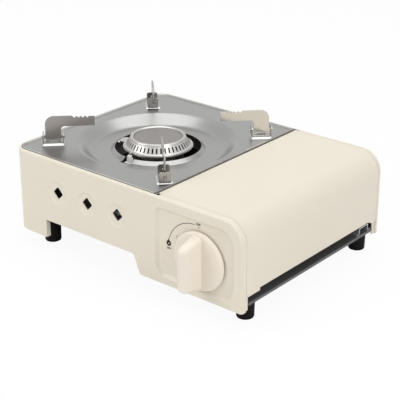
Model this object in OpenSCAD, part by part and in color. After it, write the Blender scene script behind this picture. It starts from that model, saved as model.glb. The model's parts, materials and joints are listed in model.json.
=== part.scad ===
// Portable cassette stove: sheet-metal body, drip-tray top, slotted burner, four folding
// pan supports, hinged cartridge lid and a rotary gas and ignition knob.
// Modules are drawn from the front left corner of the body at floor level:
// X runs along the front, Y to the back, Z up.

/* [Body] */
// Width of the body, left wall to lid
body_w = 280; // [276:1:300]
// Depth of the body, front panel to rear panel
body_d = 214; // [213:1:230]
// Height of the rim above the floor
rim_z = 100.5; // [100:0.5:106]
// Height of the lower edge of the walls above the floor
skirt_z = 17.5; // [15:0.5:20]
// Thickness of the painted sheet
sheet_t = 1; // [0.8:0.1:1.1]
// Outer radius of the two left corners
corner_r = 16.5; // [13:0.5:19]
// Outer bend radius of the rim and panel edges
bend_r = 2.4; // [2.2:0.1:2.6]
// Width of the rim round the top plate
rim_w = 2.6; // [2.6:0.1:3.2]
// Width of the ledge that carries the top plate
ledge_w = 5; // [3:0.5:6]
// Distance from the left wall to the lid seam
seam_x = 180.5; // [180:0.5:184]
// Radius of the lid and of the end panels at the upper right
end_r = 21; // [19:1:26]
// Depth of the front panel's folded return
front_return = 6; // [6:0.25:8]
// Depth of the rear panel's folded return
rear_return = 5; // [4.8:0.1:6]
// Length of the stepped lip that the lid closes over
lip_len = 4; // [3:0.5:5]
// Height of the air arches in the skirt
arch_z = 36; // [32:0.5:38]
// Distance from the left wall to the start of the front arch
arch_x0 = 43; // [40:1:50]
// Distance from the left wall to the end of the front arch
arch_x1 = 155; // [120:1:156]
// Run of the curve at the right end of the arch
arch_run = 10.5; // [8:0.5:12]

/* [Air vents] */
// Distance from the wall's left end to the first vent
vent_start = 60.3; // [52:0.5:66]
// Distance between vents
vent_pitch = 38.1; // [34:0.5:40]
// Number of vents in a row
vent_n = 3; // [1:1:3]
// Height of the vents above the floor
vent_z = 67.8; // [60:0.5:72]
// Side of the diamond hole
vent_side = 9.2; // [7:0.2:10]
// Corner radius of the diamond hole
vent_r = 1.3; // [1:0.1:1.6]
// Radius of the dished ring round each vent
dish_rim_r = 12.2; // [10.5:0.1:13]
// Depth of the dished ring
vent_dish = 1.3; // [0.8:0.1:1.6]

/* [Knob panel] */
// Left edge of the recess round the knob
recess_x = 183; // [182.5:0.5:186]
// Height of the recess's lower edge
recess_z = 24; // [22:0.5:25]
// Width of the recess
recess_w = 88; // [86:1:90]
// Height of the recess
recess_h = 67; // [62:1:67]
// Depth of the recess
recess_d = 2.2; // [1.8:0.1:2.4]
// Width of the recess's sloping edge
recess_slope = 3; // [2:0.5:4]
// Distance from the left wall to the knob's axis
knob_x = 233; // [231:0.5:235]
// Height of the knob's axis
knob_z = 53; // [52:0.5:54]

/* [Top plate] */
// Thickness of the top plate
plate_t = 0.8; // [0.6:0.1:1]
// How far the plate lies below the rim
plate_drop = 0.5; // [0.3:0.1:0.8]
// Clearance between plate and rim
plate_gap = 0.2; // [0.15:0.05:0.4]
// Height of the rounded bead along the plate's edge
bead_h = 0.9; // [0.5:0.1:1.2]
// Distance from the left wall to the burner's axis
burner_x = 95; // [94:0.5:97]
// Distance from the front panel to the burner's axis
burner_y = 103.5; // [101:0.5:110]
// Radius of the dish in the plate
dish_r = 79.5; // [74:0.5:80]
// Depth of the dish
dish_d = 9; // [7:0.5:10]
// Radius where the dish's sloping wall ends
dish_floor_r = 62; // [56:0.5:66]
// Radius of the burner hole
hole_r = 42; // [39:0.5:43.5]
// Rise of the lip round the burner hole
hole_lip = 3; // [2:0.5:4]

/* [Burner] */
// Radius of the burner's base flange
base_r = 34; // [32:0.5:35]
// Radius of the crown below its slots
crown_low_r = 31.4; // [30.5:0.1:32]
// Radius of the crown above its slots
crown_high_r = 27.6; // [26.8:0.1:28.5]
// Radius of the flat cap
cap_r = 23.5; // [20:0.5:24]
// Height of the crown's rim above the plate
crown_top = 4.8; // [3.5:0.1:6]
// Number of flame slots
slot_n = 46; // [20:1:48]
// Width of a flame slot
slot_w = 1.5; // [1:0.1:1.8]
// Height of a flame slot
slot_h = 4.4; // [3:0.2:4.8]
// Thickness of the burner's sheet
burner_t = 1.2; // [1:0.1:1.4]
// Radius of the burner bowl
bowl_r = 25; // [22:0.5:26]
// Height of the gas and mixing tube axis above the floor
tube_z = 60; // [58:0.5:62]
// Inner radius of the mixing tube
mixer_r = 6.5; // [5:0.25:7]
// Outer radius of the gas tube
gas_r = 2; // [1.5:0.1:2.4]

/* [Pan supports] */
// Distance from the burner's axis to a support's outer edge
sup_out = 108; // [104:0.5:108.5]
// Distance from the burner's axis to a support's inner tip
sup_in = 60.5; // [54:0.5:68]
// Height of a support above the plate
sup_h = 27.2; // [25:0.2:32]
// Width of a support's upright
stem_w = 15; // [12:0.5:16]
// Height of the arm's underside above the plate
arm_low = 17; // [15:0.5:18]
// Thickness of a support
blade_t = 1.5; // [1.2:0.1:1.8]
// Radius of a support's outer top corner
sup_r = 8.5; // [6:0.5:10]
// Number of grip notches
notch_n = 4; // [1:1:4]
// Distance between grip notches
notch_pitch = 4.1; // [3.6:0.1:4.4]
// Depth of a grip notch
notch_d = 1.7; // [1:0.1:2.2]
// Radius of the pivot stubs of the pan supports
pin_r = 1.5; // [1.2:0.1:1.6]
// Height of the raised pad under each support
pad_h = 1.6; // [1:0.1:2]
// Length of the raised pad, towards the burner
pad_l = 20.5; // [19:0.5:22]
// Width of the raised pad
pad_w = 15; // [13:0.5:16]
// Thickness of the support brackets
bracket_t = 1.2; // [1:0.1:1.3]

/* [Lid] */
// Radius of the lid's hinge rod
rod_r = 1.5; // [1.3:0.1:1.7]
// Height of the lid's lower edge above the floor
lid_z = 33.8; // [32:0.2:35]
// Height of the lid's lower corners above the floor
lid_corner_z = 31; // [29.5:0.2:31.5]
// Length of the lid's front lower corner
lid_corner_front = 19; // [14:1:24]
// Length of the lid's rear lower corner
lid_corner_rear = 13; // [10:1:18]
// Width of the lid's end ribs
rib_w = 4.5; // [3:0.5:4.5]

/* [Knob] */
// Radius of the knob's disc
knob_r = 27.4; // [25:0.2:28]
// How far the knob stands out of the front panel
knob_out = 25; // [20:0.5:30]
// Height of the disc's face in front of the panel
knob_face = 2.5; // [2:0.1:4]
// Width of the grip bar at its front
bar_w = 10; // [8:0.5:12]
// Length of the grip bar at its front
bar_len = 35; // [28:1:40]
// Wall thickness of the knob
knob_t = 1.8; // [1.4:0.1:2.2]
// Radius of the knob spindle
spindle_r = 3; // [2.5:0.1:3.2]
// Radius of the ignition cam at rest
cam_r = 8; // [7.4:0.1:8.4]
// Travel of the ignition plunger over the knob's turn
plunger_travel = 6; // [4:0.5:6.5]
// Turn of the knob from off to ignition, degrees
knob_turn = 90; // [80:5:90]

/* [Tray, feet and cartridge] */
// Thickness of the tray's sheet
tray_t = 1; // [0.8:0.1:1.2]
// Height of the tray's floor under the cartridge
tray_z = 24; // [23:0.5:25]
// Height of the tray's floor under the burner
tray_high_z = 38; // [38:0.5:40]
// Height of the tray's folded flanges
tray_flange = 8; // [6:1:10]
// Radius of the feet
foot_r = 8.5; // [7:0.5:9]
// Distance from the left wall to the left feet
foot_left = 23.7; // [20:0.5:28]
// Distance from the right side to the right feet
foot_right = 15.7; // [13:0.5:20]
// Distance from the front to the front feet
foot_front = 25.6; // [22:0.5:28]
// Distance from the back to the rear feet
foot_rear = 12; // [11:0.5:18]
// Radius of a gas cartridge
cart_r = 33.5; // [33:0.5:34]
// Length of the space that a gas cartridge takes
cart_len = 182; // [180:1:183]
// Distance from the lid seam to the cartridge's axis
cart_off = 50; // [48.5:0.5:51.5]
// Height of the cartridge's axis above the floor
cart_z = 60.5; // [60:0.25:61.5]

/* [Hidden] */
$fn = 48;
eps = 0.01;
hull_fn = 32;
run_fit = 0.05;
touch_gap = 0.3;

// top plate
plate_z = rim_z - plate_drop;
plate_under = plate_z - plate_t;
plate_x1 = seam_x - 0.6;
plate_flange = 5;
plate_in = rim_w + plate_gap;

// lid hinge
seam_gap = 0.8;
curl_r = rod_r + run_fit + sheet_t;
hinge_x = plate_x1 + seam_gap + curl_r;
hinge_z = rim_z - curl_r;
lid_gap = 0.35;
lug_eye = rod_r + 0.9;
return_x = hinge_x + lug_eye + 0.25;
lip_x = hinge_x + curl_r + 1.3;
lid_y0 = front_return + lid_gap;
lid_y1 = body_d - rear_return - lid_gap;
joggle = sheet_t + lid_gap;
lug_t = 1.2;
lug_y0 = lid_y0 - 0.6 - lug_t;
lug_y1 = lid_y1 + 0.6;
lug_z = recess_z + recess_h + 0.8;
rim_x1 = plate_x1 + 0.4;

// partition between burner and cartridge
part_t = 1;
part_x = plate_x1 - plate_t - part_t;
part_flange = 4;
part_foot = 10;
part_slot_z = 76;

// tray
step_x1 = arch_x1 + 2;
step_run = 9;
step_x2 = step_x1 + step_run;
tray_x1 = body_w - sheet_t;
tray_low_y0 = sheet_t;

// feet
foot_x = [foot_left, body_w - foot_right];
foot_y = [foot_front, body_d - foot_rear];
foot_top = [tray_high_z - tray_t, tray_z - tray_t];
screw_r = 2;
screw_head_r = 3.8;
screw_head_h = 2.4;
screw_sink = 4;
nut_h = 3.2;

// pan supports, measured from the plate
sup_mid = sup_out - stem_w / 2;
fork_gap = 1.4;
fork_l = stem_w + 2 * fork_gap + 2 * bracket_t;
fork_half = 5.6;
ear_h = 9.6;
stem_deep = 3.2;
pin_z = pad_h + bracket_t + stem_deep + 0.5;
stub_over = 0.8;
stop_l = 8;
stop_h = 2.2;
stop_y = -blade_t / 2 - touch_gap;
pad_slope = 1.6;

// knob, cam and plunger, depths measured inwards from the front panel's face
recess_back = recess_d + sheet_t;
knob_back = recess_d * (knob_z - knob_r - recess_z) / recess_slope - touch_gap;
piezo_y0 = recess_back;
piezo_t = 10;
piezo_h = 12;
piezo_l = 30;
plunger_y = piezo_y0 + piezo_t / 2;
plunger_r = 3;
plunger_tip_l = 1.8;
plunger_tip_r = 0.8;
plunger_deep = 14;
cam_t = 4;
cam_gap = 0.4;
cam_steps = 24;
plunger_tip_x = knob_x - cam_r - cam_gap;
piezo_x1 = plunger_tip_x - plunger_travel - 1.6;
clip_y0 = plunger_y + cam_t / 2 + 0.4;
clip_t = 1;

// gas regulator
cart_x = seam_x + cart_off;
reg_y0 = piezo_y0 + piezo_t + 0.2;
reg_y1 = reg_y0 + 11;
reg_z0 = 44;
reg_x0 = piezo_x1 + 2;
reg_x1 = max(knob_x, cart_x) + 15;
drum_r = 17;
drum_x = reg_x0 - 11;
drum_y0 = reg_y0 + 1;
drum_y1 = drum_y0 + 6;
cover_y1 = drum_y1 + 4;
neck_r = 12;
neck_y1 = reg_y1 + 5;
inlet_r = 4.6;
inlet_deep = 6;
seal_r = inlet_r + 1;
seal_t = 1.6;
seal_y0 = neck_y1 - inlet_deep - seal_t;
spindle_end = reg_y0 + 7;
reg_foot = 7.4;
reg_screw_y = reg_y0 + 5.3;
mount_t = 1.2;

// gas tube and burner
bowl_z0 = tube_z - mixer_r - 2 * burner_t - run_fit - 0.8;
flange_z = plate_z - 6.2;
mixer_x0 = burner_x + bowl_r - burner_t;
mixer_l = 56;
mixer_x1 = burner_x + mixer_l;
bell_r = mixer_r + 4.5;
bell_run = 14;
run_x = part_x - 9;
tube_bend = 8;
tube_y0 = drum_y0 + 3;
jet_x1 = mixer_x1 + 8;
crown_low_z = plate_z - 3.6;
crown_high_z = plate_z + 2;
stand_half = 17;
spark_x = burner_x + 3;
spark_y = burner_y - 44.5;
spark_t = 0.8;
spark_w = 12;
electrode_off = 4.4;
electrode_in = 3;
electrode_l = 24;
electrode_deep = 22;
electrode_r = 2;
wire_r = 0.65;
wire_rise = 4;
wire_reach = 4.5;

// cartridge saddles
saddle_gap = 0.3;
saddle_t = 1;
saddle_top = tray_z + 12;
saddle_w = 12;
saddle_foot = 4.5;
catch_back = 34;
catch_w = 9;
catch_l = 23;
catch_h = 7;
catch_foot = 5;
catch_t = 1;
saddle_y = [66, body_d - 50];
saddle_mid_r = cart_r + saddle_gap + saddle_t / 2;
saddle_half = sqrt(pow(saddle_mid_r, 2) - pow(cart_z - saddle_top, 2));

// ---------------------------------------------------------------- shared shapes

// puts the front left floor corner so that the origin is under the middle of the stove
module placed() {
    translate([-body_w / 2, -(body_d - knob_out) / 2, 0]) children();
}

// turns a profile drawn in X and Z into a bar running from y0 to y1
module along_y(y0, y1) {
    translate([0, y1, 0]) rotate([90, 0, 0]) linear_extrude(y1 - y0) children();
}

// turns a profile drawn inwards and up into a strip running from x0 to x1 along the front
module along_x(x0, x1) {
    translate([x0, 0, 0]) rotate([90, 0, 90]) linear_extrude(x1 - x0) children();
}

// round bar along X
module bar_x(r, x0, x1) {
    translate([x0, 0, 0]) rotate([0, 90, 0]) cylinder(r = r, h = x1 - x0);
}

// round bar along Y
module bar_y(r, y0, y1) {
    translate([0, y0, 0]) rotate([-90, 0, 0]) cylinder(r = r, h = y1 - y0);
}

// revolves a profile of radius and depth about the Y axis
module turned_y() {
    rotate([-90, 0, 0]) rotate_extrude() children();
}

// quarter of a sheet bend, upper left of its centre
module bend(r, t) {
    intersection() {
        difference() {
            circle(r);
            circle(r - t);
        }
        translate([-r - eps, 0]) square(r + eps);
    }
}

// what is cut off a square corner at the origin to round it
module corner_cut(r) {
    difference() {
        translate([-eps, -eps]) square(r + eps);
        translate([r, r]) circle(r);
    }
}

// rectangle with one radius for each corner, counter-clockwise from the lower left
module round_rect(w, h, r) {
    difference() {
        square([w, h]);
        corner_cut(r[0]);
        translate([w, 0]) rotate(90) corner_cut(r[1]);
        translate([w, h]) rotate(180) corner_cut(r[2]);
        translate([0, h]) rotate(270) corner_cut(r[3]);
    }
}

// rounded square about its centre
module round_square(w, r) {
    translate([-w / 2, -w / 2]) round_rect(w, w, [r, r, r, r]);
}

// straight slot with round ends along X, about its centre
module slot_2d(l, w) {
    translate([-(l - w) / 2, 0]) circle(w / 2);
    translate([(l - w) / 2, 0]) circle(w / 2);
    translate([-(l - w) / 2, -w / 2]) square([l - w, w]);
}

// region under the lid's outline, set in from it by i
module end_outline(x0, z0, i) {
    w = body_w - i - x0;
    h = rim_z - i - z0;
    difference() {
        translate([x0, z0]) square([w, h]);
        translate([x0 + w, z0 + h]) rotate(180) corner_cut(end_r - i);
    }
}

// pan-head screw standing on its head, head at z = 0
module screw(l) {
    cylinder(r = screw_head_r, h = screw_head_h);
    cylinder(r = screw_r, h = l);
}

// ---------------------------------------------------------------- body casing

// section of the wall, its rolled rim and the ledge for the top plate
module casing_section() {
    translate([0, skirt_z]) square([sheet_t, rim_z - bend_r - skirt_z]);
    translate([bend_r, rim_z - bend_r]) bend(bend_r, sheet_t);
    translate([bend_r, rim_z - sheet_t]) square([rim_w - bend_r, sheet_t]);
    translate([rim_w - sheet_t, plate_under - sheet_t])
        square([sheet_t, rim_z - plate_under + sheet_t]);
    translate([rim_w - sheet_t, plate_under - sheet_t]) square([ledge_w + sheet_t, sheet_t]);
}

// section of the wall beside the hinge, without the ledge
module plain_section() {
    translate([0, skirt_z]) square([sheet_t, rim_z - bend_r - skirt_z]);
    translate([bend_r, rim_z - bend_r]) bend(bend_r, sheet_t);
}

// section of an end panel's folded edge: inwards from the outline, then in depth
module return_section(depth) {
    translate([bend_r, bend_r]) rotate(90) bend(bend_r, sheet_t);
    translate([0, bend_r - eps]) square([sheet_t, depth - bend_r + eps]);
}

// the same edge with the stepped lip that the lid closes over
module lip_section(depth) {
    return_section(depth);
    translate([sheet_t / 2, depth - sheet_t]) square([joggle + sheet_t / 2, sheet_t]);
    translate([joggle, depth - sheet_t]) square([sheet_t, lip_len + sheet_t]);
}

// right half of an end panel, face at y = 0
module end_panel(depth) {
    along_y(0, sheet_t) difference() {
        translate([return_x, skirt_z])
            square([body_w - bend_r - return_x, rim_z - bend_r - skirt_z]);
        translate([body_w - bend_r, rim_z - bend_r]) rotate(180) corner_cut(end_r - bend_r);
    }
    translate([return_x, 0, rim_z]) rotate([0, 90, 0])
        linear_extrude(lip_x - return_x) return_section(depth);
    translate([lip_x, 0, rim_z]) rotate([0, 90, 0])
        linear_extrude(body_w - end_r - lip_x) lip_section(depth);
    translate([body_w - end_r, 0, rim_z - end_r]) rotate([-90, 0, 0]) rotate([0, 0, -90])
        rotate_extrude(angle = 90) translate([end_r, 0]) mirror([1, 0]) lip_section(depth);
    translate([body_w, 0, rim_z - end_r]) rotate([0, 180, 0])
        linear_extrude(rim_z - end_r - skirt_z) lip_section(depth);
}

// one dished ring in a wall whose outer face is at y = 0
module vent_dimple() {
    r1 = dish_rim_r - 3.4;
    turned_y() polygon([
        [0, vent_dish], [r1, vent_dish], [dish_rim_r, 0],
        [dish_rim_r, sheet_t], [r1, vent_dish + sheet_t], [0, vent_dish + sheet_t]
    ]);
}

// diamond hole through a wall at y = 0
module diamond() {
    along_y(-1, sheet_t + vent_dish + 1) rotate(45) round_square(vent_side, vent_r);
}

// places one copy at each vent of a row in the front wall
module vent_row() {
    for (i = [0 : vent_n - 1]) {
        translate([vent_start + i * vent_pitch, 0, vent_z]) children();
    }
}

// the three walls that carry a row of vents
module vent_walls() {
    vent_row() children();
    translate([0, body_d, 0]) mirror([0, 1, 0]) vent_row() children();
    translate([0, body_d - side_shift, 0]) rotate([0, 0, -90]) vent_row() children();
}
side_shift = (body_d - 2 * vent_start - (vent_n - 1) * vent_pitch) / 2;

// air arch in the skirt, with a soft curve at its right end
module arch_2d(x0, x1) {
    steps = 12;
    polygon(concat(
        [[x0, -1], [x0, arch_z]],
        [for (i = [0 : steps])
            [x1 + arch_run * i / steps,
             skirt_z + (arch_z - skirt_z) * (1 + cos(180 * i / steps)) / 2]],
        [[x1 + arch_run, -1]]
    ));
}

// outline of the knob recess, set in by i
module recess_2d(i) {
    translate([recess_x + i, recess_z + i])
        round_rect(recess_w - 2 * i, recess_h - 2 * i, [12 - i, 12 - i, 15 - i, 6 - i]);
}

// tapered plug of the recess, from its rim at y = 0 to its floor
module recess_plug(lead) {
    hull() {
        translate([0, -eps, 0]) along_y(0, lead + eps) recess_2d(0, $fn = hull_fn);
        translate([0, recess_d + lead - eps, 0]) along_y(0, eps)
            recess_2d(recess_slope, $fn = hull_fn);
    }
}

module body_casing() {
    placed() color("antiquewhite") difference() {
        union() {
            // front wall, left wall, rear wall and their corners
            along_x(corner_r, rim_x1) casing_section();
            along_x(rim_x1, return_x) plain_section();
            translate([corner_r, corner_r, 0]) rotate([0, 0, 180]) rotate_extrude(angle = 90)
                translate([corner_r, 0]) mirror([1, 0]) casing_section();
            translate([0, body_d - corner_r, 0]) rotate([90, 0, 0])
                linear_extrude(body_d - 2 * corner_r) casing_section();
            translate([corner_r, body_d - corner_r, 0]) rotate([0, 0, 90])
                rotate_extrude(angle = 90) translate([corner_r, 0]) mirror([1, 0])
                casing_section();
            translate([0, body_d, 0]) mirror([0, 1, 0]) {
                along_x(corner_r, rim_x1) casing_section();
                along_x(rim_x1, return_x) plain_section();
                end_panel(rear_return);
            }
            // front end panel with its drawn recess
            end_panel(front_return);
            recess_plug(sheet_t);
            vent_walls() vent_dimple();
            // folded edge beside the front arch
            translate([arch_x0 - sheet_t, 0, skirt_z]) cube([sheet_t, 5, arch_z - skirt_z]);
        }
        translate([0, -eps, 0]) recess_plug(0);
        vent_walls() vent_bowl();
        vent_walls() diamond();
        translate([knob_x, 0, knob_z]) bar_y(spindle_r + 1.2, -1, recess_back + 1);
        along_y(-1, corner_r - 1) arch_2d(arch_x0, arch_x1);
        along_y(body_d - corner_r + 1, body_d + 1) arch_2d(arch_x0, arch_x1);
        translate([-1, arch_x0, -1])
            cube([corner_r, body_d - 2 * arch_x0, arch_z + 1]);
    }
}

// hollow of a vent's dish
module vent_bowl() {
    r1 = dish_rim_r - 3.4;
    turned_y() polygon([[0, -1], [dish_rim_r, -1], [dish_rim_r, 0], [r1, vent_dish], [0, vent_dish]]);
}

// ---------------------------------------------------------------- top plate

// height of the dish at radius r, measured down from the flat of the plate
function dish_z(r) =
    r >= dish_r ? 0 :
    r >= dish_floor_r ? -dish_d * (1 - cos(180 * (dish_r - r) / (dish_r - dish_floor_r))) / 2 :
    r >= hole_r + 4 ? -dish_d : -dish_d + hole_lip;

dish_radii = concat(
    [for (i = [0 : 12]) dish_r - (dish_r - dish_floor_r) * i / 12],
    [hole_r + 4, hole_r]
);

// raised pad with sloping sides under a support bracket
module pad() {
    low = pad_slope * (1 + plate_t / pad_h);
    translate([sup_mid, 0, 0]) hull() {
        translate([-pad_l / 2 + pad_slope - low, -pad_w / 2 + pad_slope - low, -plate_t])
            cube([pad_l + 2 * (low - pad_slope), pad_w + 2 * (low - pad_slope), eps]);
        translate([-pad_l / 2 + pad_slope, -pad_w / 2 + pad_slope, pad_h - eps])
            cube([pad_l - 2 * pad_slope, pad_w - 2 * pad_slope, eps]);
    }
}

// section of the rounded edge, outer side at x = 0, standing on the plate at y = 0
module bead_section() {
    h = bead_h;
    low = -plate_t / 2;
    polygon([
        [0.2, low], [0.2, h - 0.45], [0.4, h - 0.1], [0.9, h], [1.6, h], [2.2, h - 0.15],
        [3, 0.1], [3, low]
    ]);
}

// rounded edge that runs round the whole plate
module plate_bead() {
    x0 = plate_in;
    y1 = body_d - plate_in;
    r = corner_r - plate_in;
    translate([x0 + r, x0, 0]) rotate([90, 0, 90]) linear_extrude(plate_x1 - x0 - r) bead_section();
    translate([plate_x1, y1, 0]) rotate([90, 0, -90])
        linear_extrude(plate_x1 - x0 - r) bead_section();
    translate([x0, y1 - r, 0]) rotate([90, 0, 0]) linear_extrude(y1 - x0 - 2 * r) bead_section();
    translate([plate_x1, x0, 0]) rotate([90, 0, 180]) linear_extrude(y1 - x0) bead_section();
    for (a = [0, 1]) translate([x0 + r, a == 0 ? x0 + r : y1 - r, 0]) rotate([0, 0, 180 - 90 * a])
        rotate_extrude(angle = 90) translate([r, 0]) mirror([1, 0]) bead_section();
}

// puts a pan support's own axes (out from the burner, across, up) at one of the four corners
module at_support(i) {
    translate([burner_x, burner_y, plate_z]) rotate([0, 0, support_angle[i]])
        mirror([0, support_flip[i], 0]) children();
}
support_angle = [-45, -135, 135, 45];
support_flip = [0, 1, 0, 1];

module top_plate() {
    plate_w = plate_x1 - plate_in;
    plate_l = body_d - 2 * plate_in;
    plate_r = corner_r - plate_in;
    placed() color("darkgray") {
        difference() {
            union() {
                translate([0, 0, plate_under]) linear_extrude(plate_t) difference() {
                    translate([plate_in, plate_in])
                        round_rect(plate_w, plate_l, [plate_r, 0.4, 0.4, plate_r]);
                    translate([burner_x, burner_y]) circle(dish_r, $fn = 96);
                }
                translate([burner_x, burner_y, plate_z]) rotate_extrude($fn = 96)
                    polygon(concat(
                        [for (r = dish_radii) [r, dish_z(r)]],
                        [for (k = [len(dish_radii) - 1 : -1 : 0])
                            [dish_radii[k], dish_z(dish_radii[k]) - plate_t]]
                    ));
                for (i = [0 : 3]) at_support(i) pad();
                translate([0, 0, plate_z]) plate_bead();
                // folded right edge that hooks over the partition
                translate([plate_x1 - plate_t, ledge_w + rim_w + 0.5, plate_under - plate_flange])
                    cube([plate_t, body_d - 2 * (ledge_w + rim_w + 0.5), plate_flange + eps]);
            }
            // notch for the igniter
            translate([burner_x, burner_y, plate_z]) rotate([0, 0, -96])
                rotate_extrude(angle = 15) translate([hole_r - 2, -2 * dish_d])
                square([9.3, 2 * dish_d]);
        }
    }
}

// ---------------------------------------------------------------- tray, partition and feet

// stepped floor of the tray, with its right edge turned down
module tray_profile() {
    translate([sheet_t, tray_high_z - tray_t]) square([step_x1 - sheet_t, tray_t]);
    polygon([
        [step_x1 - eps, tray_high_z], [step_x1 - eps, tray_high_z - tray_t],
        [step_x2 - tray_t, tray_z - tray_t], [step_x2 + eps, tray_z - tray_t],
        [step_x2 + eps, tray_z], [step_x2, tray_z]
    ]);
    translate([step_x2, tray_z - tray_t]) square([tray_x1 - step_x2, tray_t]);
    translate([tray_x1 - tray_t, tray_z - 2.7]) square([tray_t, 2.7]);
}

// plan of the inside of the casing
module tray_plan() {
    r = corner_r - sheet_t;
    translate([sheet_t, sheet_t])
        round_rect(tray_x1 - sheet_t, body_d - 2 * sheet_t, [r, 0.2, 0.2, r]);
}

module bottom_tray() {
    placed() color("dimgray") difference() {
        union() {
            intersection() {
                along_y(sheet_t, body_d - sheet_t) tray_profile();
                linear_extrude(rim_z) tray_plan();
            }
            for (y = [sheet_t, body_d - sheet_t - tray_t])
                translate([corner_r, y, tray_high_z - eps])
                    cube([step_x1 - corner_r, tray_t, tray_flange]);
            translate([step_x2, sheet_t, tray_z - eps])
                cube([recess_x - 2 - step_x2, tray_t, tray_flange]);
            translate([step_x2, body_d - sheet_t - tray_t, tray_z - eps])
                cube([body_w - joggle - 8 - step_x2, tray_t, tray_flange]);
            translate([sheet_t, corner_r, tray_high_z - eps])
                cube([tray_t, body_d - 2 * corner_r, tray_flange]);
        }
        // ring of air slots under the burner
        translate([burner_x, burner_y, tray_high_z - tray_t - 1])
            for (k = [0 : 7]) rotate([0, 0, 22.5 + 45 * k]) translate([36, 0, 0])
                linear_extrude(tray_t + 2) slot_2d(16, 5);
        for (i = [0, 1]) for (j = [0, 1])
            translate([foot_x[i], foot_y[j], 0]) cylinder(r = screw_r + 0.1, h = rim_z);
        rivet_places() cylinder(r = rivet_r + 0.05, h = 3 * tray_t, center = true);
        for (p = tray_screw_at)
            translate([p[0], p[1], 0]) cylinder(r = tray_screw_r + 0.1, h = p[2] + 2);
        // room for the end panels' folded edges
        for (y = [0, body_d - rear_return - lip_len - 0.5])
            translate([body_w - joggle - sheet_t - 0.4, y, tray_z - 4])
                cube([joggle + sheet_t, front_return + lip_len + 0.5, 6]);
    }
}

// screws through the tray: x, y, top of the tray's floor there, sheet that each one holds
tray_screw_r = 1.6;
tray_screw_at = [
    [burner_x - stand_half - 5, burner_y, tray_high_z, burner_t],
    [burner_x + stand_half + 5, burner_y, tray_high_z, burner_t],
    [spark_x, spark_y - 7, tray_high_z, spark_t],
    [reg_x0 + 8, reg_screw_y, tray_z, mount_t],
    [reg_x1 - 8, reg_screw_y, tray_z, mount_t],
    [cart_x - saddle_half - saddle_foot, saddle_y[0] + saddle_w / 2, tray_z, saddle_t],
    [cart_x + saddle_half + saddle_foot, saddle_y[0] + saddle_w / 2, tray_z, saddle_t],
    [cart_x - saddle_half - saddle_foot, saddle_y[1] + saddle_w / 2, tray_z, saddle_t],
    [cart_x + saddle_half + saddle_foot, saddle_y[1] + saddle_w / 2, tray_z, saddle_t]
];

module tray_screws() {
    placed() color("silver") for (p = tray_screw_at) translate([p[0], p[1], p[2] + p[3]]) {
        cylinder(r1 = 3, r2 = 2.2, h = 1.8);
        translate([0, 0, -p[3] - tray_t - 1]) cylinder(r = tray_screw_r, h = p[3] + tray_t + 1 + eps);
    }
}

rivet_r = 1.6;
rivet_y = [32, body_d / 2, body_d - 32];

// centres of the rivets through the partition's foot, on the tray's floor
module rivet_places() {
    for (y = rivet_y) translate([part_x - part_foot / 2, y, tray_z]) children();
}

module tray_rivets() {
    placed() color("silver") rivet_places() {
        translate([0, 0, -tray_t - 0.8]) cylinder(r = 2.8, h = 0.8);
        translate([0, 0, -tray_t - 0.4]) cylinder(r = rivet_r, h = tray_t + part_t + 0.8);
        translate([0, 0, part_t]) cylinder(r1 = 3, r2 = 2.2, h = 1, $fn = 48);
    }
}

module partition_panel() {
    y0 = 3 * sheet_t;
    y1 = body_d - 3 * sheet_t;
    fl_y0 = rim_w + ledge_w + 0.5;
    placed() color("lightgray") difference() {
        union() {
            translate([part_x, y0, tray_z])
                cube([part_t, y1 - y0, plate_under - sheet_t - tray_z]);
            translate([part_x - part_foot, y0 + tray_flange, tray_z])
                cube([part_foot + eps, y1 - y0 - 2 * tray_flange, part_t]);
            translate([part_x, fl_y0, tray_z])
                cube([part_t, body_d - 2 * fl_y0, plate_under - tray_z]);
            translate([part_x - part_flange, fl_y0, plate_under - part_t])
                cube([part_flange + eps, body_d - 2 * fl_y0, part_t]);
        }
        translate([0, tube_y0, tube_z]) bar_x(gas_r + 1.5, part_x - 1, part_x + part_t + 1);
        translate([0, plunger_y, knob_z]) bar_x(3, part_x - 1, part_x + part_t + 1);
        for (k = [0 : 4])
            translate([part_x - 1, 50 + k * (body_d - 100) / 4, part_slot_z]) rotate([0, 90, 0])
                linear_extrude(part_t + 2) rotate(90) slot_2d(20, 5);
        rivet_places() cylinder(r = rivet_r + 0.05, h = 3 * part_t);
    }
}

// rubber foot under the tray, with a counterbore for its screw
module foot(h) {
    color("black") difference() {
        rotate_extrude() polygon([
            [0, 0], [foot_r - 1.6, 0], [foot_r - 0.9, 0.4], [foot_r - 0.5, 1.4],
            [foot_r, h - 1], [foot_r, h], [0, h]
        ]);
        translate([0, 0, -1]) cylinder(r = screw_head_r + 0.3, h = screw_sink + 1);
        cylinder(r = screw_r + 0.1, h = h + 1);
    }
}

module foot_at(i, j) {
    placed() translate([foot_x[i], foot_y[j], 0]) foot(foot_top[i]);
}

module foot_front_left() foot_at(0, 0);
module foot_front_right() foot_at(1, 0);
module foot_rear_left() foot_at(0, 1);
module foot_rear_right() foot_at(1, 1);

module foot_screws() {
    placed() color("silver") for (i = [0, 1]) for (j = [0, 1])
        translate([foot_x[i], foot_y[j], screw_sink - screw_head_h])
            screw(foot_top[i] + tray_t + nut_h + 1 - screw_sink + screw_head_h);
}

module foot_nuts() {
    placed() color("silver") for (i = [0, 1]) for (j = [0, 1])
        translate([foot_x[i], foot_y[j], foot_top[i] + tray_t]) difference() {
            cylinder(r = 4, h = nut_h, $fn = 6);
            translate([0, 0, -1]) cylinder(r = screw_r + run_fit, h = nut_h + 2);
        }
}

// ---------------------------------------------------------------- burner

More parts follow.
